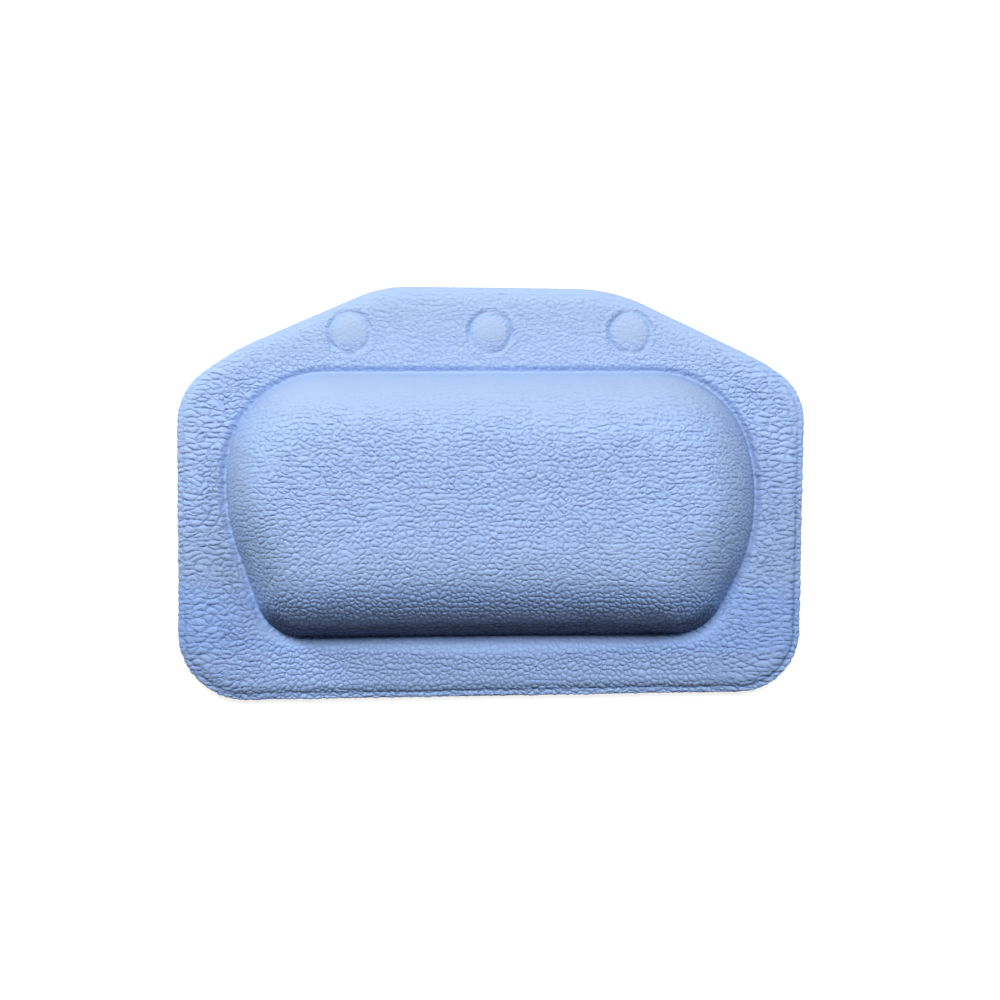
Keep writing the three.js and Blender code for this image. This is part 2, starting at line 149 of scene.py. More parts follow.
@dataclass(frozen=True)
class RoundedLoop:
    """A polygon with rounded corners, drawn about the cushion's centre."""

    corners: tuple[tuple[float, float, float], ...]
    width: float
    height: float
    centre_y: float
    arc_points: int = 200

    def line(self, inset: float = 0.0, count: int = 6000) -> Array:
        """Even points along the loop, or along the parallel loop that lies inset inside it.

        Each corner is moved along its bisector by inset / sin(half angle), and its arc is centred
        on the bisector at radius / sin(half angle). The arcs are joined by straight runs.

        Args:
            inset: how far inside the loop, negative for outside.
            count: how many points.

        Returns:
            Points of shape (count, 2), counter-clockwise.
        """
        table = np.array(self.corners)
        points = table[:, :2] * (self.width / 2, self.height / 2) + (0.0, self.centre_y)
        before = unit(np.roll(points, 1, axis=0) - points)
        after = unit(np.roll(points, -1, axis=0) - points)
        half = np.arccos(np.sum(before * after, axis=1)) / 2
        inwards = unit(before + after)
        points = points + inwards * (inset / np.sin(half))[:, None]
        radius = table[:, 2] - inset
        centre = points + inwards * (radius / np.sin(half))[:, None]
        start = points + before * (radius / np.tan(half))[:, None] - centre
        end = points + after * (radius / np.tan(half))[:, None] - centre
        first = np.arctan2(start[:, 1], start[:, 0])
        sweep = (np.arctan2(end[:, 1], end[:, 0]) - first) % (2 * math.pi)
        angle = first[:, None] + sweep[:, None] * np.linspace(0, 1, self.arc_points)
        arc = centre[:, None] + radius[:, None, None] * np.stack((np.cos(angle), np.sin(angle)), axis=2)
        line = arc.reshape(-1, 2)
        line = np.vstack((line, line[:1]))
        length = np.concatenate(([0.0], np.cumsum(np.linalg.norm(np.diff(line, axis=0), axis=1))))
        wanted = np.linspace(0, length[-1], count, endpoint=False)
        return np.stack([np.interp(wanted, length, line[:, k]) for k in (0, 1)], axis=1)

    def on_rays(self, angles: Array, inset: float = 0.0) -> Array:
        """The points where rays from the cushion's centre meet the loop.

        Args:
            angles: the rays' angles in radians, counter-clockwise from +X.
            inset: how far inside the loop, negative for outside.

        Returns:
            Points of shape (rays, 2).
        """
        line = self.line(inset) - CENTRE
        turn, length = np.arctan2(line[:, 1], line[:, 0]), np.hypot(line[:, 0], line[:, 1])
        reach = np.interp(angles, turn, length, period=2 * math.pi)
        return np.stack((reach * np.cos(angles), CUSHION_CENTRE_Y + reach * np.sin(angles)), axis=1)


def turns(points: Array) -> Array:
    """The angles of points about the cushion's centre, in radians, counter-clockwise from +X."""
    return np.arctan2(points[:, 1] - CUSHION_CENTRE_Y, points[:, 0])


OUTLINE = RoundedLoop(OUTLINE_CORNERS, PILLOW_WIDTH, PILLOW_HEIGHT, 0.0)
CREASE = RoundedLoop(CREASE_CORNERS, CUSHION_WIDTH, CUSHION_HEIGHT, CUSHION_CENTRE_Y)


@dataclass(frozen=True)
class Lattice:
    """Seeded random numbers on a repeating square lattice, for noise that is the same each run."""

    seed: int
    size: int = 256

    def table(self) -> Array:
        """Random numbers from 0 to 1 of shape (size, size, 3), of which value() takes the first of three."""
        return np.random.default_rng(self.seed).random((self.size, self.size, 3))

    def value(self, x: Array, y: Array) -> Array:
        """Smooth noise: lattice values eased by 3t^2 - 2t^3 across each square.

        Args:
            x: places across, in squares.
            y: places up, in squares.

        Returns:
            Values from -1 to 1.
        """
        table = self.table()[:, :, 0] * 2 - 1
        column, row = np.floor(x).astype(int), np.floor(y).astype(int)
        u, v = smoothstep(0, 1, x - column), smoothstep(0, 1, y - row)
        near = [table[(column + a) % self.size, (row + b) % self.size] for b in (0, 1) for a in (0, 1)]
        low = near[0] * (1 - u) + near[1] * u
        high = near[2] * (1 - u) + near[3] * u
        return low * (1 - v) + high * v


def grid_faces(rows: int, columns: int, wrap: bool = True) -> Array:
    """Quads of a grid whose vertex (row, column) is number row * columns + column.

    Args:
        rows: how many rows of vertices.
        columns: how many vertices in a row.
        wrap: whether the last column joins the first.

    Returns:
        Vertex numbers of shape (faces, 4), turned so that columns run counter-clockwise as rows go out.
    """
    row = np.arange(rows - 1)[:, None] * columns
    column = np.arange(columns if wrap else columns - 1)[None, :]
    after = (column + 1) % columns
    quads = np.stack((row + column, row + columns + column, row + columns + after, row + after), axis=2)
    return quads.reshape(-1, 4)


def ring_numbers(columns: int) -> tuple[Array, Array]:
    """The number of each vertex of a closed ring, and of the vertex after it."""
    column = np.arange(columns)
    return column, (column + 1) % columns


def cap_faces(columns: int, start: int, middle: int) -> Array:
    """Triangles between a ring whose first vertex is start and one middle vertex."""
    column, after = ring_numbers(columns)
    return np.stack((start + column, np.full(columns, middle), start + after), axis=1)


def ridge_faces(number: Array, start: int, ridge: int) -> Array:
    """Quads between a ring and a ridge.

    Args:
        number: for each vertex of the ring, the number of its vertex along the ridge.
        start: the ring's first vertex.
        ridge: the ridge's first vertex.

    Returns:
        Vertex numbers of shape (faces, 4), turned to face up where the ring runs counter-clockwise.
    """
    column, after = ring_numbers(len(number))
    return np.stack((ridge + number[column], start + column, start + after, ridge + number[after]), axis=1)


def set_layer(mesh: bpy.types.Mesh, name: str, values: Array) -> None:
    """Store values as a float attribute of a mesh's vertices."""
    mesh.attributes.new(name, "FLOAT", "POINT").data.foreach_set("value", values.astype(np.float32))


def move_points(mesh: bpy.types.Mesh, points: Array) -> None:
    """Put a mesh's vertices at points in metres in the row frame."""
    mesh.vertices.foreach_set("co", points.astype(np.float32).ravel())
    mesh.update()


def make_object(
    name: str, points: Array, faces: list[Array], layers: dict[str, Array] | None = None
) -> bpy.types.Object:
    """A smooth mesh object at the origin.

    Args:
        name: the piece's name.
        points: vertices in metres in the row frame.
        faces: arrays of vertex numbers, one array for each number of corners.
        layers: float attributes on the vertices.

    Returns:
        The object, linked to the scene.
    """
    mesh = bpy.data.meshes.new(name)
    corners = np.concatenate([f.ravel() for f in faces]).astype(np.int32)
    sizes = np.concatenate([np.full(len(f), f.shape[1]) for f in faces])
    mesh.vertices.add(len(points))
    mesh.vertices.foreach_set("co", points.astype(np.float32).ravel())
    mesh.loops.add(len(corners))
    mesh.loops.foreach_set("vertex_index", corners)
    mesh.polygons.add(len(sizes))
    mesh.polygons.foreach_set("loop_start", np.concatenate(([0], np.cumsum(sizes)[:-1])).astype(np.int32))
    mesh.polygons.foreach_set("use_smooth", np.ones(len(sizes), bool))
    mesh.update(calc_edges=True)
    mesh.validate()
    for layer, values in (layers or {}).items():
        set_layer(mesh, layer, values)
    made = bpy.data.objects.new(name, mesh)
    bpy.context.scene.collection.objects.link(made)
    return made


def points_of(mesh: bpy.types.Mesh, what: str = "co") -> Array:
    """A mesh's vertices, or their normals.

    Args:
        mesh: the mesh.
        what: "co" for the vertices or "normal" for their normals.

    Returns:
        An array of shape (vertices, 3).
    """
    source = mesh.vertices if what == "co" else mesh.vertex_normals
    found = np.zeros(len(mesh.vertices) * 3, np.float32)
    source.foreach_get("co" if what == "co" else "vector", found)
    return found.reshape(-1, 3).astype(float)


def layer_of(mesh: bpy.types.Mesh, name: str) -> Array:
    """A float attribute of a mesh's vertices.

    Args:
        mesh: the mesh.
        name: the attribute's name.

    Returns:
        A value for each vertex.
    """
    found = np.zeros(len(mesh.vertices), np.float32)
    mesh.attributes[name].data.foreach_get("value", found)
    return found.astype(float)


class Wire:
    """A node's socket that can be used in Python expressions."""

    def __init__(self, graph: "Graph", socket: bpy.types.NodeSocket) -> None:
        """Wrap a socket of a graph."""
        self.graph = graph
        self.socket = socket

    def _math(self, operation: str, *values: Any) -> "Wire":
        """A Math node of an operation on values."""
        return self.graph.node("ShaderNodeMath", {"operation": operation}, dict(enumerate(values)))

    def __add__(self, other: Any) -> "Wire":
        """Sum."""
        return self._math("ADD", self, other)

    __radd__ = __add__

    def __mul__(self, other: Any) -> "Wire":
        """Product."""
        return self._math("MULTIPLY", self, other)

    __rmul__ = __mul__

    def __sub__(self, other: Any) -> "Wire":
        """Difference."""
        return self._math("SUBTRACT", self, other)

    def __rsub__(self, other: Any) -> "Wire":
        """Difference from a number."""
        return self._math("SUBTRACT", other, self)

    def decay(self, rate: float) -> "Wire":
        """The exponential of minus rate times the value: 1 at 0, falling towards 0."""
        return self._math("EXPONENT", self * -rate)

    def larger(self, other: Any) -> "Wire":
        """The larger of this value and another."""
        return self._math("MAXIMUM", self, other)

    def clamped(self) -> "Wire":
        """The value held between 0 and 1."""
        return self.graph.node("ShaderNodeClamp", {}, {"Value": self})

    def eased(self, low: float, high: float) -> "Wire":
        """The value mapped smoothly to 0 at low and 1 at high."""
        values = {"Value": self, "From Min": low, "From Max": high}
        return self.graph.node("ShaderNodeMapRange", {"interpolation_type": "SMOOTHSTEP"}, values)

    def vector(self, operation: str, *values: Any, output: Any = 0) -> "Wire":
        """A Vector Math node of an operation on this vector and others."""
        inputs = dict(enumerate((self, *values)))
        return self.graph.node("ShaderNodeVectorMath", {"operation": operation}, inputs, output)


# A Mix node's two inputs and its output for each kind of value, by number, as their names are shared
NUMBER_SOCKETS = (2, 3, 0)
COLOUR_SOCKETS = (6, 7, 2)


class Graph:
    """The nodes of a material or a world, or of a modifier that measures a pattern on a mesh."""

    def __init__(self, tree: bpy.types.NodeTree, material: bpy.types.Material | None = None) -> None:
        """Work on a node tree, and keep the material that it belongs to."""
        self.tree = tree
        self.material = material

    @staticmethod
    def of_material(name: str) -> "Graph":
        """The graph of a new material.

        Args:
            name: the material's name.

        Returns:
            Its graph, with no nodes yet.
        """
        material = bpy.data.materials.new(name)
        material.use_nodes = True
        material.node_tree.nodes.clear()
        return Graph(material.node_tree, material)

    def node(self, kind: str, settings: dict[str, Any], values: dict[Any, Any], output: Any = 0) -> Wire:
        """Add a node.

        Args:
            kind: the node's type.
            settings: what is set on the node first.
            values: numbers, colours or wires for its inputs, by name or number.
            output: the name or number of the output that is returned.

        Returns:
            That output.
        """
        made = self.tree.nodes.new(kind)
        for name, value in settings.items():
            setattr(made, name, value)
        for name, value in values.items():
            if isinstance(value, Wire):
                self.tree.links.new(value.socket, made.inputs[name])
            else:
                made.inputs[name].default_value = value
        return Wire(self, made.outputs[output])

    def place(self) -> Wire:
        """Where a point of the piece is.

        Returns:
            A vector in metres in the row frame.
        """
        if self.tree.type == "GEOMETRY":
            return self.node("GeometryNodeInputPosition", {}, {})
        return self.node("ShaderNodeTexCoord", {}, {}, "Object")

    def attribute(self, name: str) -> Wire:
        """A float attribute of the piece's vertices.

        Args:
            name: the attribute's name.

        Returns:
            Its value.
        """
        if self.tree.type == "GEOMETRY":
            return self.node("GeometryNodeInputNamedAttribute", {"data_type": "FLOAT"}, {"Name": name})
        return self.node("ShaderNodeAttribute", {"attribute_name": name}, {}, "Fac")

    def ray(self, kind: str) -> Wire:
        """1 for a kind of ray, such as "Camera", and 0 for the others."""
        return self.node("ShaderNodeLightPath", {}, {}, f"Is {kind} Ray")

    def noise(self, where: Wire, scale: float, detail: float = 2.0, rough: float = 0.5) -> Wire:
        """Noise from 0 to 1 in three dimensions.

        Args:
            where: places.
            scale: how often the noise repeats in one unit of the places.
            detail: how many finer noises are added to it.
            rough: how strong the finer ones are.

        Returns:
            The noise.
        """
        values = {"Vector": where, "Scale": scale, "Detail": detail, "Roughness": rough}
        return self.node("ShaderNodeTexNoise", {}, values)

    def flat_noise(self, where: Wire, scale: float, detail: float = 2.0, output: Any = 0) -> Wire:
        """Noise from 0 to 1 in X and Y only.

        Args:
            where: places.
            scale: how often the noise repeats in one unit of the places.
            detail: how many finer noises are added to it.
            output: the output that is returned, which is "Color" for three noises at once.

        Returns:
            The noise.
        """
        values = {"Vector": where, "Scale": scale, "Detail": detail}
        return self.node("ShaderNodeTexNoise", {"noise_dimensions": "2D"}, values, output)

    def mix(self, share: Any, first: Any, second: Any) -> Wire:
        """A colour between two colours."""
        a, b, mixed = COLOUR_SOCKETS
        return self.node("ShaderNodeMix", {"data_type": "RGBA"}, {0: share, a: first, b: second}, mixed)

    def blend(self, share: Any, first: Any, second: Any) -> Wire:
        """A number between two numbers."""
        a, b, mixed = NUMBER_SOCKETS
        return self.node("ShaderNodeMix", {"data_type": "FLOAT"}, {0: share, a: first, b: second}, mixed)

    def bump(self, height: Wire, distance: float, strength: float = 1.0) -> Wire:
        """A normal that is bent by a height in shares of a distance in metres."""
        values = {"Strength": strength, "Distance": distance, "Height": height}
        return self.node("ShaderNodeBump", {}, values)

    def surface(self, **values: Any) -> bpy.types.Material:
        """End the material in a Principled shader, with input names written with underscores."""
        inputs = {name.replace("_", " "): value for name, value in values.items()}
        return self.end(self.node("ShaderNodeBsdfPrincipled", {}, inputs))

    def end(self, shader: Wire) -> bpy.types.Material:
        """Join a shader to the material's output.

        Args:
            shader: the shader.

        Returns:
            The material, which is now complete.
        """
        out = self.tree.nodes.new("ShaderNodeOutputMaterial")
        self.tree.links.new(shader.socket, out.inputs["Surface"])
        return self.material


@dataclass(frozen=True)
class Grain:
    """The leather grain that the mould presses into the vinyl.

    The same nodes measure it on a mesh, whose vertices it then moves, and sharpen it in the material.
    Cells and bends are in millimetres, and a scale is how often a noise repeats in one. A range is
    where an ease starts and ends.
    """

    round_cell: Pair = (3.5, 2.75)
    long_cell: Pair = (7.0, 2.9)
    small_cell: Pair = (2.9, 2.8)
    scatter: float = 0.85
    groove: float = 8.0
    small_groove: float = 5.5
    crisp: float = 12.0
    # How deep an upright crease is beside a level one, in the soft relief and in the crisp creases
    upright_share: float = 0.85
    crisp_upright_share: float = 0.25
    small_even: float = 0.45
    dome_share: float = 0.18
    dome_bulge: float = 1.9
    quick_scale: float = 1.2
    quick_bend: Pair = (0.95, 0.95)
    slow_scale: float = 0.085
    slow_bend: Pair = (5.0, 3.6)
    # Creases that run on over several pebbles
    run_scales: Pair = (0.07, 0.33)
    run_range: Pair = (0.4, 0.6)
    run_depth: float = 0.3
    # Patches where the runs are strongest, and where small pebbles cut up the large ones
    patch_scale: float = 0.2
    patch_range: Pair = (0.35, 0.6)
    patch_share: float = 0.4
    cut_range: Pair = (0.62, 0.42)
    cut_depth: float = 0.3
    cut_on_long_share: float = 0.6
    # Gaps where the creases are shallow
    gap_scale: float = 0.5
    gap_range: Pair = (0.36, 0.52)
    gaps: float = 0.6
    # Where the pebbles turn from round to long, and the level of "wrinkled" at which all are small
    drift_scale: float = 0.05
    drift_share: float = 1.4
    long_range: Pair = (0.35, 0.65)
    all_small: float = -0.2
    small_strengths: Pair = (0.95, 0.6)
    shift: float = 0.0

    def pebbles(
        self, g: Graph, where: Wire, cell: Pair, even: float, groove: float
    ) -> tuple[Wire, Wire]:
        """One lattice of pebbles.

        A pebble is domed by the square of the distance to its middle. A crease fades with the
        exponential of the distance to its line. A level crease is deeper than an upright one.

        Args:
            g: the graph.
            where: places in millimetres, already bent.
            cell: a pebble's width and height in millimetres.
            even: from 0 to 1, how alike level and upright creases are.
            groove: how fast a crease fades.

        Returns:
            The soft relief and the crisp creases, as depths.
        """
        scaled = where.vector("MULTIPLY", (1 / cell[0], 1 / cell[1], 0))
        values = {"Vector": scaled, "Scale": 1.0, "Randomness": self.scatter}

        def lattice(feature: str, output: str) -> Wire:
            """A Voronoi node of the pebbles."""
            settings = {"voronoi_dimensions": "2D", "feature": feature}
            return g.node("ShaderNodeTexVoronoi", settings, values, output)

        border, middle = lattice("DISTANCE_TO_EDGE", "Distance"), lattice("F1", "Distance")
        bulge = (middle * middle * self.dome_bulge).clamped() * self.dome_share
        dome = (1 - self.dome_share) * border.decay(groove) + bulge
        apart = lattice("F2", "Position").vector("SUBTRACT", lattice("F1", "Position"))
        way = apart.vector("NORMALIZE").vector("ABSOLUTE")
        level = g.node("ShaderNodeSeparateXYZ", {}, {"Vector": way}, "Y")
        soft_least = self.upright_share + (1 - self.upright_share) * even
        crisp_least = self.crisp_upright_share + (1 - self.crisp_upright_share) * even
        soft = (soft_least + (1 - soft_least) * level) * dome
        crisp = (crisp_least + (1 - crisp_least) * level * level) * border.decay(self.crisp)
        return soft, crisp

    def places(self, g: Graph) -> Wire:
        """Places that are moved by "spread_x" and "spread_y", so that the grain runs down walls.

        Args:
            g: the graph.

        Returns:
            A vector in millimetres.
        """
        spread = {"X": g.attribute("spread_x"), "Y": g.attribute("spread_y")}
        flat = g.place().vector("MULTIPLY", (1 / MM, 1 / MM, 0)).vector("ADD", (self.shift, self.shift, 0))
        return flat.vector("ADD", g.node("ShaderNodeCombineXYZ", {}, spread))

    def bent(self, g: Graph, flat: Wire) -> Wire:
        """Places bent by a quick and a slow noise, whose colours give how far across and up.

        Args:
            g: the graph.
            flat: the places.

        Returns:
            The bent places.
        """
        found = flat
        for scale, reach in ((self.quick_scale, self.quick_bend), (self.slow_scale, self.slow_bend)):
            stir = g.flat_noise(flat, scale, output="Color").vector("SUBTRACT", (0.5, 0.5, 0.5))
            found = found.vector("ADD", stir.vector("MULTIPLY", (*reach, 0)))
        return found

    def build(self, g: Graph) -> tuple[Wire, Wire]:
        """The grain's two heights.

        Stretched noise makes some creases run on deeper over several pebbles. Small pebbles cut up
        the large ones in places.

        Args:
            g: the graph, whose piece has the attributes "wrinkled" and "fade".

        Returns:
            The soft relief and the crisp creases, each as a depth from 0 on a pebble to 1 in a crease.
        """
        flat = self.places(g)
        bent = self.bent(g, flat)
        runs = g.flat_noise(flat.vector("MULTIPLY", (*self.run_scales, 0)), 1.0).eased(*self.run_range)
        patch = g.flat_noise(flat, self.patch_scale, 1.0)
        drift = g.flat_noise(flat, self.drift_scale, 1.0)
        whole = g.flat_noise(flat, self.gap_scale).eased(*self.gap_range)
        wrinkled, fade = g.attribute("wrinkled"), g.attribute("fade")
        longer = (wrinkled + self.drift_share * (drift - 0.5)).eased(*self.long_range)
        finer = (wrinkled * (1 / self.all_small)).clamped()
        stronger = 1 - self.patch_share + self.patch_share * patch.eased(*self.patch_range)
        depth = 1 - self.run_depth + self.run_depth * runs * stronger
        depth = depth * (1 - self.gaps + self.gaps * whole)
        large = [self.pebbles(g, bent, cell, 0.0, self.groove) for cell in (self.round_cell, self.long_cell)]
        little = self.pebbles(g, bent, self.small_cell, self.small_even, self.small_groove)
        found = []
        for rounder, along, small, strength in zip(*large, little, self.small_strengths):
            main = g.blend(longer, rounder, along) * depth
            where_cut = (1 - self.cut_on_long_share * longer) * patch.eased(*self.cut_range)
            cut = small * self.cut_depth * where_cut
            found.append((fade * g.blend(finer, main + (1 - main) * cut, small * strength)).clamped())
        return found[0], found[1]

    def measure(self, made: bpy.types.Object) -> Array:
        """The soft relief at each vertex of a piece, from a modifier that is taken off again.

        Args:
            made: the piece, whose vertices have the attributes "wrinkled" and "fade".

        Returns:
            The relief's depth at each vertex.
        """
        tree = bpy.data.node_groups.new("grain_measure", "GeometryNodeTree")
        tree.interface.new_socket("Geometry", in_out="INPUT", socket_type="NodeSocketGeometry")
        tree.interface.new_socket("Geometry", in_out="OUTPUT", socket_type="NodeSocketGeometry")
        g = Graph(tree)
        relief, _ = self.build(g)
        source = g.node("NodeGroupInput", {}, {})
        values = {"Geometry": source, "Name": "relief", "Value": relief}
        stored = g.node("GeometryNodeStoreNamedAttribute", {"data_type": "FLOAT", "domain": "POINT"}, values)
        out = tree.nodes.new("NodeGroupOutput")
        tree.links.new(stored.socket, out.inputs[0])
        modifier = made.modifiers.new("grain", "NODES")
        modifier.node_group = tree
        measured = made.evaluated_get(bpy.context.evaluated_depsgraph_get())
        depths = layer_of(measured.data, "relief")
        made.modifiers.remove(modifier)
        bpy.data.node_groups.remove(tree)
        return depths


def linear(red: float, green: float, blue: float) -> tuple[float, float, float, float]:
    """A colour as a shader needs it.

    Args:
        red: its screen value from 0 to 255.
        green: its screen value.
        blue: its screen value.

    Returns:
        Linear values from 0 to 1, and 1 for opaque.
    """
    shares = np.array((red, green, blue)) / 255
    value = np.where(shares <= 0.04045, shares / 12.92, ((shares + 0.055) / 1.055) ** 2.4)
    return (*value.tolist(), 1.0)


@dataclass(frozen=True)
class GrainedVinyl:
    """Soft foam-PVC with a leather grain: matt, with painted shade in its grain creases, crease, grooves and
    lower parts, and painted highlight on its upper parts.

    Colours are screen values from 0 to 255, heights are in millimetres and scales are per metre.
    """

    name: str
    colour: Colour
    grain: Grain
    # Painted shade colours for the grain's creases, the crease and grooves, and the lower wall's foot; the
    # colour of a random cloud and of painted highlight; a richer blue of painted shade towards the bottom
    grain_crease_shade_colour: Colour = (98, 127, 199)
    groove_shade_colour: Colour = (132, 162, 212)
    painted_shade_colour: Colour = (40, 57, 102)
    cloud_and_highlight_colour: Colour = (172, 188, 216)
    lower_shade_colour: Colour = (164, 193, 245)
    grain_crease_shade_share: float = 0.9
    groove_shade_share: float = 0.7
    painted_shade_share: float = 0.85
    painted_shade_grain_share: float = 0.2
    cloud_scale: float = 14.0
    cloud_range: Pair = (0.45, 0.75)
    cloud_share: float = 0.25
    pore_scale: float = 1500.0
    bump_height: float = 0.6
    relief_share: float = 0.45
    sharp_share: float = 0.55
    pore_share: float = 0.08
    roughness: float = 0.42
    pore_roughness: float = 0.16

    def material(self) -> bpy.types.Material:
        """Colour from a random cloud, painted highlight and painted shade, and a bump of the crisp creases
        and of fine pores.

        Returns:
            The material.
        """
        g = Graph.of_material(self.name)
        relief, creases = self.grain.build(g)
        where = g.place()
        cloud = g.noise(where, self.cloud_scale, detail=3.0).eased(*self.cloud_range)
        tone = g.attribute("tone")
        painted_shade = g.attribute("painted_shade") * (self.painted_shade_share + self.painted_shade_grain_share * (relief + creases))
        layers = (
            # A random cloud, and painted highlight on the upper shoulder, the flange above and the smooth
            # parts of the rings
            (tone.clamped().larger(cloud * self.cloud_share), self.cloud_and_highlight_colour),
            # A richer blue of painted shade towards the bottom
            ((tone * -1).clamped(), self.lower_shade_colour),
            # Painted shade in the grain's creases
            ((creases * self.grain_crease_shade_share).clamped(), self.grain_crease_shade_colour),
            # Painted shade in the crease, on its bank and in the weld and ring grooves
            ((g.attribute("groove_shade") * self.groove_shade_share).clamped(), self.groove_shade_colour),
            # Painted shade at the lower wall's foot, in the lower corners and in the right crease
            (painted_shade.clamped(), self.painted_shade_colour),
        )
        colour = linear(*self.colour)
        for share, over in layers:
            colour = g.mix(share, colour, linear(*over))
        pores = g.noise(where, self.pore_scale, rough=0.6)
        height = 1.0 - relief * self.relief_share - creases * self.sharp_share + pores * self.pore_share
        return g.surface(
            Base_Color=colour,
            Roughness=(self.roughness + self.pore_roughness * pores).clamped(),
            Normal=g.bump(height, self.bump_height * MM),
            IOR=1.45,
            Specular_IOR_Level=0.5,
            Sheen_Weight=0.04,
        )


@dataclass(frozen=True)
class Sponge:
    """Cream open-cell sponge, with scales per metre and heights in millimetres."""

    name: str = "open_cell_sponge"
    colour: Colour = (240, 234, 214)
    # Painted shade inside the pores
    pore_shade_colour: Colour = (186, 176, 140)
    pore_scale: float = 900.0
    pore_range: Pair = (0.1, 0.5)
    pore_depth: float = 0.3
    roughness: float = 0.95

    def material(self) -> bpy.types.Material:
        """Pores with painted shade inside, sunk by a bump.

        Returns:
            The material.
        """
        g = Graph.of_material(self.name)
        values = {"Vector": g.place(), "Scale": self.pore_scale}
        pore = g.node("ShaderNodeTexVoronoi", {}, values, "Distance").eased(*self.pore_range)
        colour = g.mix(pore, linear(*self.pore_shade_colour), linear(*self.colour))
        normal = g.bump(pore, self.pore_depth * MM, strength=0.8)
        return g.surface(Base_Color=colour, Roughness=self.roughness, Normal=normal)


@dataclass(frozen=True)
class StiffPlastic:
    """White moulded plastic of the washers, with scales per metre and heights in millimetres."""

    name: str = "white_moulded_plastic"
    colours: tuple[Colour, Colour] = ((226, 230, 234), (244, 246, 248))
    mottle_scale: float = 260.0
    texture_scale: float = 2400.0
    texture_height: float = 0.03
    roughness: float = 0.38
    mottle_roughness: float = 0.12

    def material(self) -> bpy.types.Material:
        """A faint mottle and a fine moulded texture.

        Returns:
            The material.
        """
        g = Graph.of_material(self.name)
        where = g.place()
        mottle = g.noise(where, self.mottle_scale, detail=3.0)
        dull, bright = (linear(*colour) for colour in self.colours)
        texture = g.noise(where, self.texture_scale)
        normal = g.bump(texture, self.texture_height * MM, strength=0.6)
        rough = self.roughness + self.mottle_roughness * mottle
        return g.surface(Base_Color=g.mix(mottle, dull, bright), Roughness=rough, Normal=normal)


@dataclass(frozen=True)
class ClearSoftPvc:
    """Clear, slightly milky soft PVC of the cups, with scales per metre and heights in millimetres."""

    name: str = "clear_soft_pvc"
    colours: tuple[Colour, Colour] = ((214, 228, 238), (240, 247, 251))
    flow_scale: float = 90.0
    flow_stretch: float = 3.0
    ripple_scale: float = 420.0
    ripple_height: float = 0.06
    roughness: float = 0.1
    flow_roughness: float = 0.16
    clearness: float = 0.82

    def material(self) -> bpy.types.Material:
        """Mostly clear, with faint flow marks in its gloss.

        Returns:
            The material.
        """
        g = Graph.of_material(self.name)
        where = g.place()
        stretched = where.vector("MULTIPLY", (1, 1, self.flow_stretch))
        flow = g.noise(stretched, self.flow_scale, detail=4.0, rough=0.6)
        ripple = g.noise(where, self.ripple_scale)
        milky, clear = (linear(*colour) for colour in self.colours)
        return g.surface(
            Base_Color=g.mix(flow, milky, clear),
            Roughness=self.roughness + self.flow_roughness * flow,
            Normal=g.bump(ripple, self.ripple_height * MM, strength=0.5),
            IOR=1.5,
            Transmission_Weight=self.clearness,
        )


Finish = GrainedVinyl | Sponge | StiffPlastic | ClearSoftPvc


class Band(Enum):
    """The bands of rows that the front skin's grid runs through, from the cushion's ridge out and under."""

    CUSHION = "cushion"
    BANK = "bank"
    FLANGE = "flange"
    ROLL = "roll"
    LIP = "lip"
    UNDER = "under"


@dataclass
class Rows:
    """Rows of a grid as they are added, each with its band and its share of painted shade."""

    rings: list[Array] = field(default_factory=list)
    bands: list[Band] = field(default_factory=list)
    groove_shade: list[Array] = field(default_factory=list)

    def add(self, band: Band, ring: Array, z: Any, shade_amount: Any = 0.0) -> None:
        """Add a ring.

        Args:
            band: the band that it lies in.
            ring: its points, of which only X and Y are used.
            z: its height, as one number or one for each point.
            shade_amount: how much painted shade it has, as one number or one for each point.
        """
        zero = np.zeros(len(ring))
        self.rings.append(np.column_stack((ring[:, :2], zero + z)))
        self.bands.append(band)
        self.groove_shade.append(zero + shade_amount)

    def of(self, band: Band) -> Array:
        """Which rows lie in a band."""
        return np.array([b is band for b in self.bands])


@dataclass(frozen=True)
class Ramp:
    """An ease from 0 at one value to 1 at another, which may be places, distances or slopes."""

    low: float
    high: float

    def __call__(self, value: Array) -> Array:
        """The eased share at each value."""
        return smoothstep(self.low, self.high, value)


# Layers of the skin's mesh that are taken off when its grain and its painted light and shade are made
PASSING_LAYERS = ("under", "cushion", "lip", "groove_shade", "around", "from_foot", "from_edge", "at_crease")


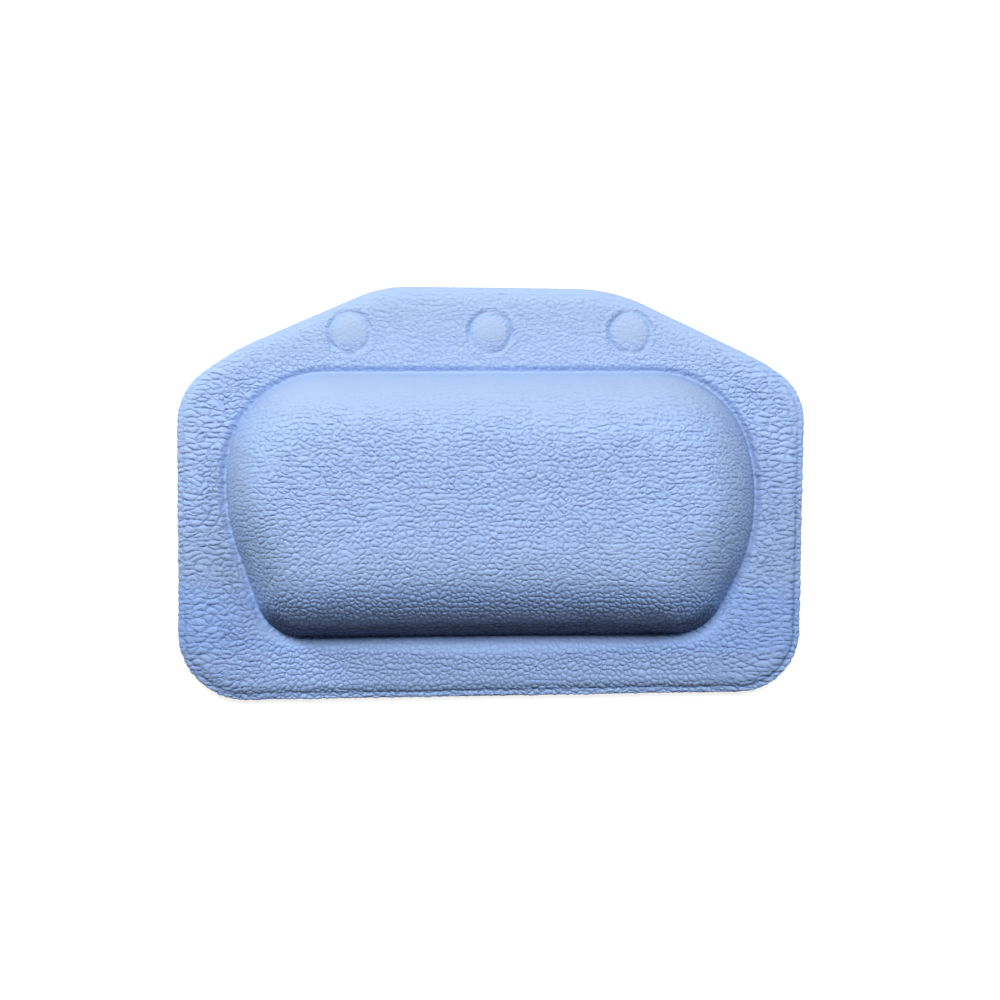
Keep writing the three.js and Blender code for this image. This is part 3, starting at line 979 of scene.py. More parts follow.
@dataclass
class SkinZones:
    """Where the skin's grain and its painted light and shade change, at each vertex of the skin before its
    grain.

    Lengths are in millimetres in the pillow's plane. The ramps are eases over a place across or up, a
    distance or a part of the normal. A mask is 1 inside its zone and 0 outside it.
    """

    points: Array
    normals: Array
    under: Array
    cushion: Array
    lip: Array
    groove_shade: Array
    around: Array
    from_foot: Array
    from_edge: Array
    at_crease: Array
    flange_beside: Ramp = Ramp(110.0, 146.0)
    flange_above: Ramp = Ramp(60.0, 76.0)
    cushion_up: Ramp = Ramp(-50.0, -10.0)
    lower_wall: Ramp = Ramp(-0.2, -0.6)
    level: Ramp = Ramp(0.3, 0.8)
    shoulder: Ramp = Ramp(36.0, 57.0)
    shoulder_leftwards: Ramp = Ramp(60.0, -60.0)
    left_wall: Ramp = Ramp(-112.0, -128.0)
    left_wall_up: Ramp = Ramp(-40.0, 20.0)
    bank: Ramp = Ramp(5.5, 2.5)
    wide_bank: Ramp = Ramp(11.0, 5.0)
    flange_below: Ramp = Ramp(-62.0, -69.0)
    edge: Ramp = Ramp(10.0, 2.0)
    edge_up: Ramp = Ramp(15.0, 45.0)
    brow_y: float = 20.0
    brow_width: float = 14.0
    # Where painted shade lies: at the lower wall's foot, in the lower corners and in the right crease
    wall_foot: Ramp = Ramp(25.0, 13.0)
    wall_down: Ramp = Ramp(-0.25, -0.8)
    left_corner: Ramp = Ramp(-90.0, -150.0)
    right_corner: Ramp = Ramp(90.0, 150.0)
    corner_down: Ramp = Ramp(10.0, -80.0)
    right_crease: Ramp = Ramp(60.0, 125.0)
    # Where painted highlight lies on the upper shoulder, and where a richer blue of painted shade lies
    # towards the bottom
    highlight_shoulder_ramp: Ramp = Ramp(30.0, 57.0)
    lower_shade_ramp: Ramp = Ramp(-40.0, -58.0)
    lower_shade_end_ramp: Ramp = Ramp(-80.0, -86.0)
    # How long the pebbles are everywhere, and what the zones add or take off
    plain_length: float = 0.12
    beside_longer: float = 0.5
    cushion_longer: float = 0.16
    flange_shorter: float = 0.32
    above_less_short: float = 0.4
    lower_wall_shorter: float = 0.45
    # How strong the grain is everywhere, what two zones add and the share that each of the others takes
    plain_strength: float = 0.85
    beside_gain: float = 0.22
    brow_gain: float = 0.1
    shoulder_loss: float = 0.85
    right_shoulder_share: float = 0.75
    left_wall_loss: float = 0.4
    above_loss: float = 0.3
    ring_loss: float = 0.75
    below_loss: float = 0.5
    steep_loss: float = 0.15
    bank_loss: float = 0.35
    crease_loss: float = 1.0
    cushion_loss: float = 0.08
    edge_loss: float = 0.6
    # How strong the painted shade, the painted highlight and the richer blue of painted shade of the zones
    # are
    left_corner_shade: float = 0.22
    right_corner_shade: float = 0.07
    right_crease_shade: float = 0.55
    shoulder_highlight: float = 0.95
    above_highlight: float = 0.55
    end_less_lower_shade: float = 0.65
    # The height of the slow and of the quick swells, and how far they are apart across and up
    swells: tuple[tuple[float, float, float], ...] = ((0.16, 17.0, 14.0), (0.08, 7.0, 6.0))
    ticks_around: float = 512.0
    tick_length: float = 7.0
    tick_height: float = 0.28
    tick_reach: float = 3.4

    @staticmethod
    def of(mesh: bpy.types.Mesh) -> "SkinZones":
        """The zones of a skin's mesh that lies in the pillow's plane."""
        layers = {name: layer_of(mesh, name) for name in PASSING_LAYERS}
        return SkinZones(points_of(mesh), points_of(mesh, "normal"), **layers)

    def beside(self) -> Array:
        """The mask of the flange beside the cushion."""
        return self.flange_beside(np.abs(self.points[:, 0])) * (1 - self.cushion)

    def above(self) -> Array:
        """The mask of the flange above the cushion."""
        return self.flange_above(self.points[:, 1]) * (1 - self.cushion)

    def wrinkled(self) -> Array:
        """How long the pebbles are: most beside the cushion, and least below it and on its lower wall.

        Returns:
            A value for each vertex. Pebbles are small under 0, round over it and long over 0.5.
        """
        found = self.plain_length + self.beside_longer * self.beside()
        found += self.cushion_longer * self.cushion * self.cushion_up(self.points[:, 1])
        rest = (1 - self.cushion) * (1 - self.beside()) * (1 - self.above_less_short * self.above())
        found -= self.flange_shorter * rest
        return found - self.lower_wall_shorter * self.cushion * self.lower_wall(self.normals[:, 1])

    def fade(self, smooth: Array) -> Array:
        """How strong the grain is.

        It is weak on the cushion's upper shoulder, its left wall and the steep walls, on the flange above,
        on the crease and its bank, at the upper edge and where a ring is smooth.

        Args:
            smooth: how smooth the rings are, at each vertex.

        Returns:
            The strength at each vertex, about 0.8 on the cushion's top.
        """
        x, y = self.points[:, 0], self.points[:, 1]
        flange = 1 - self.cushion
        right = self.right_shoulder_share
        leftwards = right + (1 - right) * self.shoulder_leftwards(x)
        zones = (
            (self.shoulder_loss, self.cushion * self.shoulder(y) * leftwards),
            (self.left_wall_loss, self.cushion * self.left_wall(x) * self.left_wall_up(y)),
            (self.above_loss, self.above()),
            (self.ring_loss, smooth),
            (self.below_loss, flange * self.wide_bank(self.from_foot) * self.flange_below(y)),
            (self.steep_loss, self.cushion * (1 - self.level(self.normals[:, 2]))),
            (self.bank_loss, flange * self.bank(self.from_foot)),
            (self.crease_loss, self.at_crease),
            (self.cushion_loss, self.cushion),
            (self.edge_loss, self.edge(self.from_edge) * self.edge_up(y)),
        )
        found = self.plain_strength + self.beside_gain * self.beside()
        for loss, zone in zones:
            found = found * (1 - loss * zone)
        brow = self.cushion * np.exp(-(((y - self.brow_y) / self.brow_width) ** 2))
        return found * (1 + self.brow_gain * brow)

    def painted_shade(self) -> Array:
        """How strong the painted shade is, at the lower wall's foot, in the lower corners and in the right
        crease.

        Returns:
            A share for each vertex.
        """
        x, y = self.points[:, 0], self.points[:, 1]
        wall = self.cushion * self.wall_foot(self.from_foot) * self.wall_down(self.normals[:, 1])
        corners = self.left_corner_shade * self.left_corner(x)
        corners += self.right_corner_shade * self.right_corner(x)
        found = np.maximum(wall, corners * self.corner_down(y) * (1 - self.cushion))
        return np.maximum(found, self.right_crease_shade * self.groove_shade * self.right_crease(x))

    def tone(self, smooth: Array) -> Array:
        """How much painted highlight the skin has, over 0, or painted shade in a richer blue, under 0.

        Args:
            smooth: how smooth the rings are, at each vertex, where painted highlight is laid on.

        Returns:
            The painted highlight or shade at each vertex, from -1 to 1.
        """
        y = self.points[:, 1]
        shoulder = self.shoulder_highlight * self.cushion * self.highlight_shoulder_ramp(y)
        highlight = np.maximum(shoulder, self.above_highlight * self.above())
        lower_shade = self.lower_shade_ramp(y) * (1 - self.end_less_lower_shade * self.lower_shade_end_ramp(y))
        return np.maximum(highlight, smooth) - lower_shade

    def swell(self) -> Array:
        """How far the sheet swells out: slow and quick noise, and small ticks along the crease.

        Returns:
            A distance for each vertex, in millimetres.
        """
        x, y = self.points[:, 0], self.points[:, 1]
        uneven = np.zeros(len(x))
        for seed, (height, across, up) in zip(SWELL_SEEDS, self.swells):
            uneven += height * Lattice(seed).value(x / across, y / up)
        ticks = Lattice(TICK_SEED).value(self.around * self.ticks_around, self.from_foot / self.tick_length)
        near_foot = np.exp(-((self.from_foot / self.tick_reach) ** 2))
        return uneven * (1 - self.lip) + self.tick_height * ticks * near_foot


@dataclass(frozen=True)
class WeldRings:
    """The three rings that are welded round the washers, each with a sunk groove round a raised pad.

    Lengths are in millimetres, in the pillow's plane.
    """

    radius: float = 10.9
    wander: float = 0.35
    groove_width: float = 1.4
    groove_sharpness: float = 1.4
    groove_depth: float = 1.1
    # How deep a groove is round the ring, as shares of its depth, and how its noise is sampled
    deep_mean: float = 0.62
    deep_swing: float = 0.2
    deep_angle: float = 165.0
    deep_wobble: float = 0.45
    deep_least: float = 0.15
    noise_reach: float = 2.2
    noise_apart: float = 9.0
    pad_radius: float = 9.7
    pad_rise: float = 0.8
    pad_power: float = 2.4
    pad_fade: float = 3.0
    lower_half: Ramp = Ramp(-2.0, -8.0)
    bulge: float = 0.2
    bulge_gap: float = 2.6
    bulge_width: float = 1.5
    # How much painted shade a groove gets and how smooth it looks
    groove_shade_strength: float = 0.7
    groove_smooth: float = 0.8
    refined_width: float = 3.2

    def refine(self, made: bpy.types.Object) -> None:
        """Cut the quads of the skin round each ring three ways, so that its groove is round.

        Args:
            made: the skin, in the pillow's plane.
        """
        bm = bmesh.new()
        bm.from_mesh(made.data)
        reach = self.radius + self.refined_width
        near: set[bmesh.types.BMEdge] = set()
        for x in CUP_SIDES.values():
            for face in bm.faces:
                middle = face.calc_center_median()
                if middle.z > SEAM_Z + 1 and math.hypot(middle.x - x, middle.y - CUP_LINE_Y) < reach:
                    near.update(face.edges)
        bmesh.ops.subdivide_edges(bm, edges=list(near), cuts=2, use_grid_fill=True)
        bm.to_mesh(made.data)
        bm.free()

    def shape(self, points: Array, top: Array) -> tuple[Array, Array, Array]:
        """Height of the rings over the flange.

        A groove is a Gaussian about the ring's radius, uneven round it. The pad inside rises by
        1 - (r / pad_radius)^pad_power of its rise, and the sheet just outside the groove bulges a little.

        Args:
            points: the skin's vertices in the pillow's plane.
            top: 1 for each vertex of the front, and 0 for each of the underside.

        Returns:
            The height, the painted shade in the groove and how smooth each point is.
        """
        lift, groove_shade, smooth = np.zeros((3, len(points)))
        uneven = Lattice(RING_SEED)
        deep_angle = math.radians(self.deep_angle)
        pad = Ramp(self.radius, self.pad_radius - self.pad_fade)
        for number, x in enumerate(CUP_SIDES.values()):
            across, up = points[:, 0] - x, points[:, 1] - CUP_LINE_Y
            radius, angle = np.hypot(across, up), np.arctan2(up, across)
            noise_x, noise_y = self.noise_reach * np.cos(angle), self.noise_reach * np.sin(angle)
            wobble = uneven.value(noise_x + self.noise_apart * number, noise_y)
            swing = self.deep_swing * np.cos(2 * (angle - deep_angle))
            strength = np.clip(self.deep_mean + swing + self.deep_wobble * wobble, self.deep_least, 1)
            offset = (radius - self.radius - self.wander * wobble) / self.groove_width
            groove = np.exp(-(offset**2) * self.groove_sharpness)
            rise = self.pad_rise * np.clip(1 - (radius / self.pad_radius) ** self.pad_power, 0, 1)
            sunk = self.groove_depth * groove * strength
            outside = (radius - self.radius - self.bulge_gap) / self.bulge_width
            lift += top * (rise - sunk + self.bulge * np.exp(-(outside**2)))
            # Painted shade in the ring's groove
            groove_shade = np.maximum(groove_shade, top * groove * strength * self.groove_shade_strength)
            # Smooth grooves and the pads' upper halves: weaker grain, and painted highlight on the skin
            smooth = np.maximum(smooth, top * groove * self.groove_smooth)
            smooth = np.maximum(smooth, top * pad(radius) * (1 - self.lower_half(up)))
        return lift, groove_shade, smooth


@dataclass
class FrontSkin:
    """The formed and welded front sheet: cushion, crease, flange, weld rings and lip."""

    plane: PillowPlane
    grain: Grain
    half_columns: int = 780
    cushion_rows: int = 165
    bank_rows: int = 8
    flange_rows: int = 44
    ridge_width_share: float = 0.5
    upper_power: float = 5.4
    side_power: float = 7.0
    lower_power: float = 4.95
    wall_run: float = 75.0
    lower_foot: float = 0.6
    corner_foot: float = 0.4
    plain_foot_share: float = 0.4
    lip_width: float = 3.3
    lip_thickness: float = 1.9
    groove_depth: float = 0.15
    lip_bulge_end: float = 0.85
    lip_fall: float = 0.55
    lip_fall_power: float = 1.5
    roll_width: float = 9.0
    weld_width: float = 5.4
    weld_curve_share: float = 0.6
    weld_curve_power: float = 2.2
    plain_fall_power: float = 2.6
    weld_unevenness: float = 0.14
    weld_noise_scale: float = 9.0
    # Distances of the rows from the outline on the lip, and from the lip on the foot of the roll
    lip_insets: tuple[float, ...] = (3.15, 2.95, 2.7, 2.3, 1.9, 1.5, 1.1, 0.75, 0.45, 0.2, 0.05, 0.0)
    roll_insets: tuple[float, ...] = (1.2, 0.9, 0.6, 0.35, 0.15, 0.0)
    roll_foot: float = 1.6
    roll_rows: int = 8
    edge_rounding: float = 0.7
    edge_radius: float = 0.8
    lip_side_drops: tuple[float, ...] = (1.35, 1.6)
    # Insets and heights over the seam of the lip's lower edge, then the inset at which the seam is flat
    lip_under: tuple[Pair, ...] = ((0.15, 0.08), (0.6, 0.0))
    seam_inset: float = 6.0
    hollow_shares: tuple[float, ...] = (0.06, 0.14, 0.26, 0.42, 0.6, 0.8)
    softened_rows: float = 3.0
    softenings: int = 3
    # How much painted shade the foot of the wall, the bank and the weld get, and how wide, in millimetres
    foot_shade: float = 0.4
    bank_shade: float = 0.45
    shade_width: float = 2.0
    bank_run: float = 4.0
    # The bank's width beside the cushion, how much less it is above and how much more below, in shares
    bank_beside: float = 0.9
    bank_less_above: float = 0.1
    bank_more_below: float = 1.1
    # Painted shade along the weld's groove, and how wide
    weld_groove_shade: float = 0.8
    weld_shade_width: float = 0.7
    flange_crown: float = 0.4
    lower_crown: float = 1.6
    side_crown: float = 0.6
    crease_width: float = 5.0
    weld_rings: WeldRings = WeldRings()
    edge_jag: float = 0.35
    edge_jag_width: float = 3.0
    edge_jag_scale: float = 125.0
    edge_jag_share: float = 0.6
    edge_jag_below: float = 0.45
    grain_depth: float = 0.85
    grain_rise_share: float = 0.25
    grain_spread: float = 0.55
    crease_gap_rows: float = 1.1
    # How strongly the lip's weld shows, as angles in degrees from the right and the share at each
    weld_table: tuple[Pair, ...] = (
        (0, 0.5),
        (15, 0.3),
        (32, 0.12),
        (90, 0.08),
        (150, 0.1),
        (178, 0.12),
        (196, 0.16),
        (208, 0.4),
        (222, 0.85),
        (270, 0.9),
        (318, 1.0),
        (335, 0.9),
        (348, 0.62),
        (360, 0.5),
    )

    def columns(self) -> tuple[Array, Array]:
        """Points of the crease, where the grid's columns start.

        Its upper and lower halves share their places across, so that they meet on the ridge.

        Returns:
            The crease's points, counter-clockwise from the right, and each column's number on the ridge.
        """
        line = CREASE.line()
        line = np.roll(line, -int(np.argmax(line[:, 0])), axis=0)
        left = int(np.argmin(line[:, 0]))
        upper = line[: left + 1]
        lower = np.vstack((line[left:], line[:1]))[::-1]
        share = np.linspace(0, 1, self.half_columns + 1)
        halves = (upper, lower)
        evenly = [np.interp(share, np.linspace(0, 1, len(half)), half[:, 0]) for half in halves]
        across = (evenly[0] + evenly[1]) / 2
        up, down = (np.interp(-across, -half[:, 0], half[:, 1]) for half in halves)
        top = np.stack((across, up), axis=1)
        bottom = np.stack((across, down), axis=1)[1:-1][::-1]
        number = np.concatenate((np.arange(self.half_columns + 1), np.arange(1, self.half_columns)[::-1]))
        return np.vstack((top, bottom)), number

    def ridge(self, crease: Array, z: float) -> Array:
        """Points along the cushion's ridge.

        Args:
            crease: the crease's points.
            z: the ridge's height.

        Returns:
            Points of shape (half_columns + 1, 3), from the right.
        """
        across = crease[: self.half_columns + 1, 0] * self.ridge_width_share
        flat = np.ones(len(across))
        return np.column_stack((across, CUSHION_CENTRE_Y * flat, z * flat))

    def cushion_ring(self, crease: Array, share: float, depth: float) -> Array:
        """A ring of the cushion, or of the surface a depth under it.

        A point runs from the crease to the ridge, and its height is rise * (1 - (1 - share)^power),
        whose power differs above, below and at the sides. It then sinks by the depth along the
        surface's own normal.

        Args:
            crease: the crease's points.
            share: how far from the crease to the ridge, from 0 to 1.
            depth: how deep under the surface.

        Returns:
            Points of shape (columns, 3).
        """
        across, up = crease[:, 0] * (self.ridge_width_share - 1), CUSHION_CENTRE_Y - crease[:, 1]
        to_ridge = np.stack((across, up), axis=1)
        inwards = unit(to_ridge)
        down = inwards[:, 1]
        power = np.where(down > 0, self.lower_power, self.upper_power)
        power = self.side_power + (power - self.side_power) * down**2
        foot = self.foot(crease)
        rise = RIDGE_Z - foot
        height = foot + rise * (1 - (1 - share) ** power)
        slope = rise * power * (1 - share) ** (power - 1) / np.linalg.norm(to_ridge, axis=1)
        normal = unit(np.column_stack((-slope[:, None] * inwards, np.ones(len(crease)))))
        surface = np.column_stack((crease + to_ridge * share, height))
        return surface - normal * depth

    def foot(self, crease: Array) -> Array:
        """Heights of the crease, which is shallow below the cushion and deepest at its upper corners.

        Args:
            crease: the crease's points.

        Returns:
            A height for each point.
        """
        out = unit(crease - CENTRE)
        below = out[:, 1].clip(-1, 0) ** 2
        corner = 2 * np.abs(out[:, 0]) * out[:, 1].clip(0, 1)
        plain = self.plain_foot_share
        sunk = self.corner_foot * (plain + (1 - plain) * corner) * (1 - below)
        return CREASE_Z + CREASE_DEPTH * (self.lower_foot * below - sunk)

    def cushion_shares(self) -> Array:
        """Where the cushion's rows lie, at even steps along a slope whose flat run is wall_run.

        Returns:
            Shares of the way from the crease to the ridge, from the ridge down.
        """
        fine = np.linspace(0, 1, 2000)
        height = CUSHION_RISE * (1 - (1 - fine) ** self.lower_power)
        slope = np.hypot(np.diff(fine) * self.wall_run, np.diff(height))
        length = np.concatenate(([0], np.cumsum(slope)))
        steps = np.linspace(1, 0, self.cushion_rows + 1)[1:]
        return np.interp(steps * length[-1], length, fine)

    def crown(self, angles: Array) -> Array:
        """How far the flange bulges next to the crease, more below the cushion than beside and above it."""
        most = np.where(np.sin(angles) < 0, self.lower_crown, self.flange_crown)
        return self.side_crown + (most - self.side_crown) * np.sin(angles) ** 2

    def crowned(self, angles: Array, flat: Array, share: float, rolled: float) -> Array:
        """Heights of the flange, which is crowned by 1 - t^2 from the bank to the lip.

        Args:
            angles: the columns' angles.
            flat: the width of the flange at each column, without the roll.
            share: the share of that width.
            rolled: the share of the roll's width.

        Returns:
            A height for each column.
        """
        way = (flat * share + self.roll_width * rolled) / (flat + self.roll_width)
        return FLANGE_Z + self.crown(angles) * (1 - way**2)

    def edge(self, angles: Array, inset: float) -> Array:
        """Places at a distance inside the outline, uneven at the very edge from the cutting die.

        Args:
            angles: the columns' angles.
            inset: the distance.

        Returns:
            Points of shape (columns, 2).
        """
        jag = Lattice(EDGE_SEED).value(angles * self.edge_jag_scale, angles * 0.0)
        jag *= self.edge_jag * (self.edge_jag_share - self.edge_jag_below * np.sin(angles))
        uneven = jag * max(0.0, 1 - inset / self.edge_jag_width)
        places = OUTLINE.on_rays(angles, inset)
        return places - unit(places - CENTRE) * uneven[:, None]

    def edge_height(self, inset: float, sheet: Array, weld: Array) -> Array:
        """Heights of the roll, the weld's groove and the lip.

        Where the weld shows, the sheet rolls down to the groove in a curve that is partly a power of the
        way and partly a quarter circle. Where it doesn't, it falls by a power of the way to the lip's
        edge. The very edge is rounded.

        Args:
            inset: the distance inside the outline.
            sheet: heights of the flange as it would run on.
            weld: how strongly the weld shows.

        Returns:
            A height for each column.
        """
        lip_z = SEAM_Z + self.lip_thickness
        groove_z = lip_z - self.groove_depth
        share = min(max(1 - (inset - self.lip_width) / self.weld_width, 0.0), 1.0)
        curve = self.weld_curve_share
        rolled = curve * share**self.weld_curve_power + (1 - curve) * (1 - math.sqrt(1 - share * share))
        welded = sheet - (FLANGE_Z - groove_z) * rolled
        if inset < self.lip_width:
            out = (self.lip_width - inset) / self.lip_width
            bulge = self.groove_depth * math.sin(math.pi / 2 * min(1.0, out / self.lip_bulge_end))
            welded = groove_z + bulge - self.lip_fall * out**self.lip_fall_power
        fallen = (1 - inset / (self.lip_width + self.roll_width)) ** self.plain_fall_power
        plain = sheet - (FLANGE_Z - lip_z) * fallen
        turn = 1 - min(inset, self.edge_radius) / self.edge_radius
        rounding = self.edge_rounding * (1 - math.sqrt(max(0.0, 1 - turn**2)))
        return weld * welded + (1 - weld) * plain - rounding

    def front_rows(self, rows: Rows, crease: Array, angles: Array) -> None:
        """Add the rows of the front, from just outside the ridge to the lip's edge.

        The bank of the crease rises with the ease 3t^2 - 2t^3 and is widest below.

        Args:
            rows: the rows that they are added to.
            crease: the crease's points.
            angles: the columns' angles.
        """
        for share in self.cushion_shares():
            ring = self.cushion_ring(crease, float(share), 0.0)
            # Painted shade at the foot of the wall
            shade_amount = self.foot_shade * math.exp(-((share * self.wall_run / self.shade_width) ** 2))
            rows.add(Band.CUSHION, ring, ring[:, 2], shade_amount)
        upness = np.sin(angles)
        below = upness.clip(-1, 0) ** 2
        bank = (self.bank_beside - self.bank_less_above * upness + self.bank_more_below * below)[:, None]
        outside = CREASE.on_rays(angles, -self.crease_width)
        foot = self.foot(crease)
        for share in np.linspace(0, 1, self.bank_rows + 1)[1:]:
            eased = share * share * (3 - 2 * share)
            height = foot + (FLANGE_Z + self.crown(angles) - foot) * eased
            # Painted shade on the bank
            shade_amount = self.bank_shade * math.exp(-((share * self.bank_run / self.shade_width) ** 2))
            rows.add(Band.BANK, crease + (outside - crease) * share * bank, height, shade_amount)
        inner = crease + (outside - crease) * bank
        edge_width = self.lip_width + self.roll_width
        outer = OUTLINE.on_rays(angles, edge_width)
        flat = np.linalg.norm(outer - inner, axis=1)
        for share in np.linspace(0, 1, self.flange_rows + 1)[1:]:
            rows.add(Band.FLANGE, inner + (outer - inner) * share, self.crowned(angles, flat, share, 0.0))
        weld = np.interp(np.degrees(angles) % 360, *zip(*self.weld_table))
        weld += self.weld_unevenness * Lattice(WELD_SEED).value(angles * self.weld_noise_scale, angles * 0.0)
        weld = np.clip(weld, 0, 1)
        roll = np.linspace(edge_width, self.lip_width + self.roll_foot, self.roll_rows + 1)[1:]
        for inset in (*roll, *(self.lip_width + near for near in self.roll_insets), *self.lip_insets):
            rolled = min((edge_width - inset) / self.roll_width, 1.0)
            height = self.edge_height(float(inset), self.crowned(angles, flat, 1.0, rolled), weld)
            # Painted shade along the weld's groove
            from_weld = (inset - self.lip_width) / self.weld_shade_width
            shade_amount = self.weld_groove_shade * weld * math.exp(-(from_weld**2))
            band = Band.LIP if inset <= self.lip_width else Band.ROLL
            rows.add(band, self.edge(angles, float(inset)), height, shade_amount)

    def back_rows(self, rows: Rows, crease: Array, angles: Array) -> None:
        """Add the rows of the lip's side and of the underside, in to the top of the hollow.

        Args:
            rows: the rows that they are added to.
            crease: the crease's points.
            angles: the columns' angles.
        """
        lip_z = SEAM_Z + self.lip_thickness
        for drop in self.lip_side_drops:
            rows.add(Band.LIP, self.edge(angles, 0.0), lip_z - drop)
        for inset, lift in self.lip_under:
            rows.add(Band.UNDER, self.edge(angles, inset), SEAM_Z + lift)
        rows.add(Band.UNDER, OUTLINE.on_rays(angles, self.seam_inset), SEAM_Z)
        rows.add(Band.UNDER, CREASE.on_rays(angles, -self.crease_width), SEAM_Z)
        rows.add(Band.UNDER, CREASE.on_rays(angles, SKIN_WALL), SEAM_Z)
        for share in self.hollow_shares:
            ring = self.cushion_ring(crease, share, SKIN_WALL)
            rows.add(Band.UNDER, ring, ring[:, 2])

    def softened(self, rings: Array) -> Array:
        """Rows near the foot of the wall eased into a small fillet by a repeated 1-2-1 average.

        Args:
            rings: the rows' points, of shape (rows, columns, 3).

        Returns:
            The eased points.
        """
        from_foot = (np.arange(len(rings)) - self.cushion_rows) / self.softened_rows
        weight = np.exp(-(from_foot**2))[:, None, None]
        for _ in range(self.softenings):
            average = rings.copy()
            average[1:-1] = (rings[:-2] + 2 * rings[1:-1] + rings[2:]) / 4
            rings = rings + (average - rings) * weight
        return rings

    def spread(self, rings: Array, crease: Array) -> tuple[Array, Array]:
        """How far the grain is moved outwards on the cushion, so that it isn't stretched on the walls.

        It is a share of how much longer the slope is than its flat run, summed from the ridge out.

        Args:
            rings: the rows' points, of shape (rows, columns, 3).
            crease: the crease's points.

        Returns:
            The moves across and up, in millimetres, of shape (rows, columns).
        """
        steps = np.diff(rings[: self.cushion_rows], axis=0)
        longer = np.linalg.norm(steps, axis=2) - np.linalg.norm(steps[..., :2], axis=2)
        moves = np.zeros(rings.shape[:2])
        moves[1 : self.cushion_rows] = np.cumsum(longer, axis=0) * self.grain_spread
        across, up = crease[:, 0] * (1 - self.ridge_width_share), crease[:, 1] - CUSHION_CENTRE_Y
        out = unit(np.stack((across, up), axis=1))
        return moves * out[:, 0], moves * out[:, 1]

    def base_mesh(self) -> bpy.types.Object:
        """The skin before its rings and grain, closed along the ridge above and in the hollow.

        Returns:
            The skin, in the pillow's plane.
        """
        crease, number = self.columns()
        angles = turns(crease)
        table = Rows()
        self.front_rows(table, crease, angles)
        edge_row = len(table.rings) - 1
        self.back_rows(table, crease, angles)
        rings = self.softened(np.array(table.rings))
        rows, columns = rings.shape[:2]
        ridge = self.ridge(crease, RIDGE_Z)
        points = np.vstack((rings.reshape(-1, 3), ridge, ridge - (0, 0, SKIN_WALL)))
        first, last, low = rows * columns, rows * columns + len(ridge), (rows - 1) * columns
        top, hollow = ridge_faces(number, 0, first), ridge_faces(number, low, last)[:, ::-1]
        run = np.concatenate(([0], np.cumsum(np.linalg.norm(np.diff(crease, axis=0), axis=1))))
        at_crease = np.exp(-(((np.arange(rows) - self.cushion_rows + 0.5) / self.crease_gap_rows) ** 4))
        spread_x, spread_y = self.spread(rings, crease)
        on_ridge = np.zeros(len(ridge))
        far = 99.0

        def layer(values: Array, above: float, below: float) -> Array:
            """Values of the rows and columns, then of the two ridges."""
            even = np.broadcast_to(values, (rows, columns)).ravel()
            return np.concatenate((even, on_ridge + above, on_ridge + below)).astype(float)

        layers = {
            "groove_shade": layer(np.array(table.groove_shade), 0, 0),
            "under": layer(table.of(Band.UNDER)[:, None], 0, 1),
            "cushion": layer(table.of(Band.CUSHION)[:, None], 1, 0),
            "lip": layer(table.of(Band.LIP)[:, None], 0, 0),
            "around": layer(run / run[-1], 0, 0),
            "from_foot": layer(np.linalg.norm(rings - rings[self.cushion_rows], axis=2), far, far),
            "from_edge": layer(np.linalg.norm(rings - rings[edge_row], axis=2), far, far),
            "at_crease": layer(at_crease[:, None], 0, 0),
            "spread_x": layer(spread_x, 0, 0),
            "spread_y": layer(spread_y, 0, 0),
        }
        return make_object("front_skin_soft", points, [grid_faces(rows, columns), top, hollow], layers)

    def build(self) -> bpy.types.Object:
        """The skin with its weld rings, and with its grain in the mesh.

        Returns:
            The skin, in the row frame.
        """
        made = self.base_mesh()
        self.weld_rings.refine(made)
        mesh = made.data
        zones = SkinZones.of(mesh)
        top = 1 - zones.under
        lift, ring_groove_shade, smooth = self.weld_rings.shape(zones.points, top)
        fade = zones.fade(smooth) * top
        set_layer(mesh, "wrinkled", zones.wrinkled())
        set_layer(mesh, "fade", fade)
        moved = zones.points + zones.normals * (zones.swell() * top)[:, None]
        moved[:, 2] += lift
        move_points(mesh, self.plane.to_row(moved))
        relief = self.grain.measure(made) - self.grain_rise_share * fade
        placed, normals = points_of(mesh), points_of(mesh, "normal")
        move_points(mesh, placed - normals * (self.grain_depth * MM * relief)[:, None])
        for name in PASSING_LAYERS:
            mesh.attributes.remove(mesh.attributes[name])
        # Painted shade in the crease, bank and grooves, painted shade at the lower wall's foot, lower
        # corners and right crease, painted highlight above and painted shade below
        set_layer(mesh, "groove_shade", np.maximum(zones.groove_shade, ring_groove_shade))
        set_layer(mesh, "painted_shade", zones.painted_shade())
        set_layer(mesh, "tone", zones.tone(smooth))
        return made


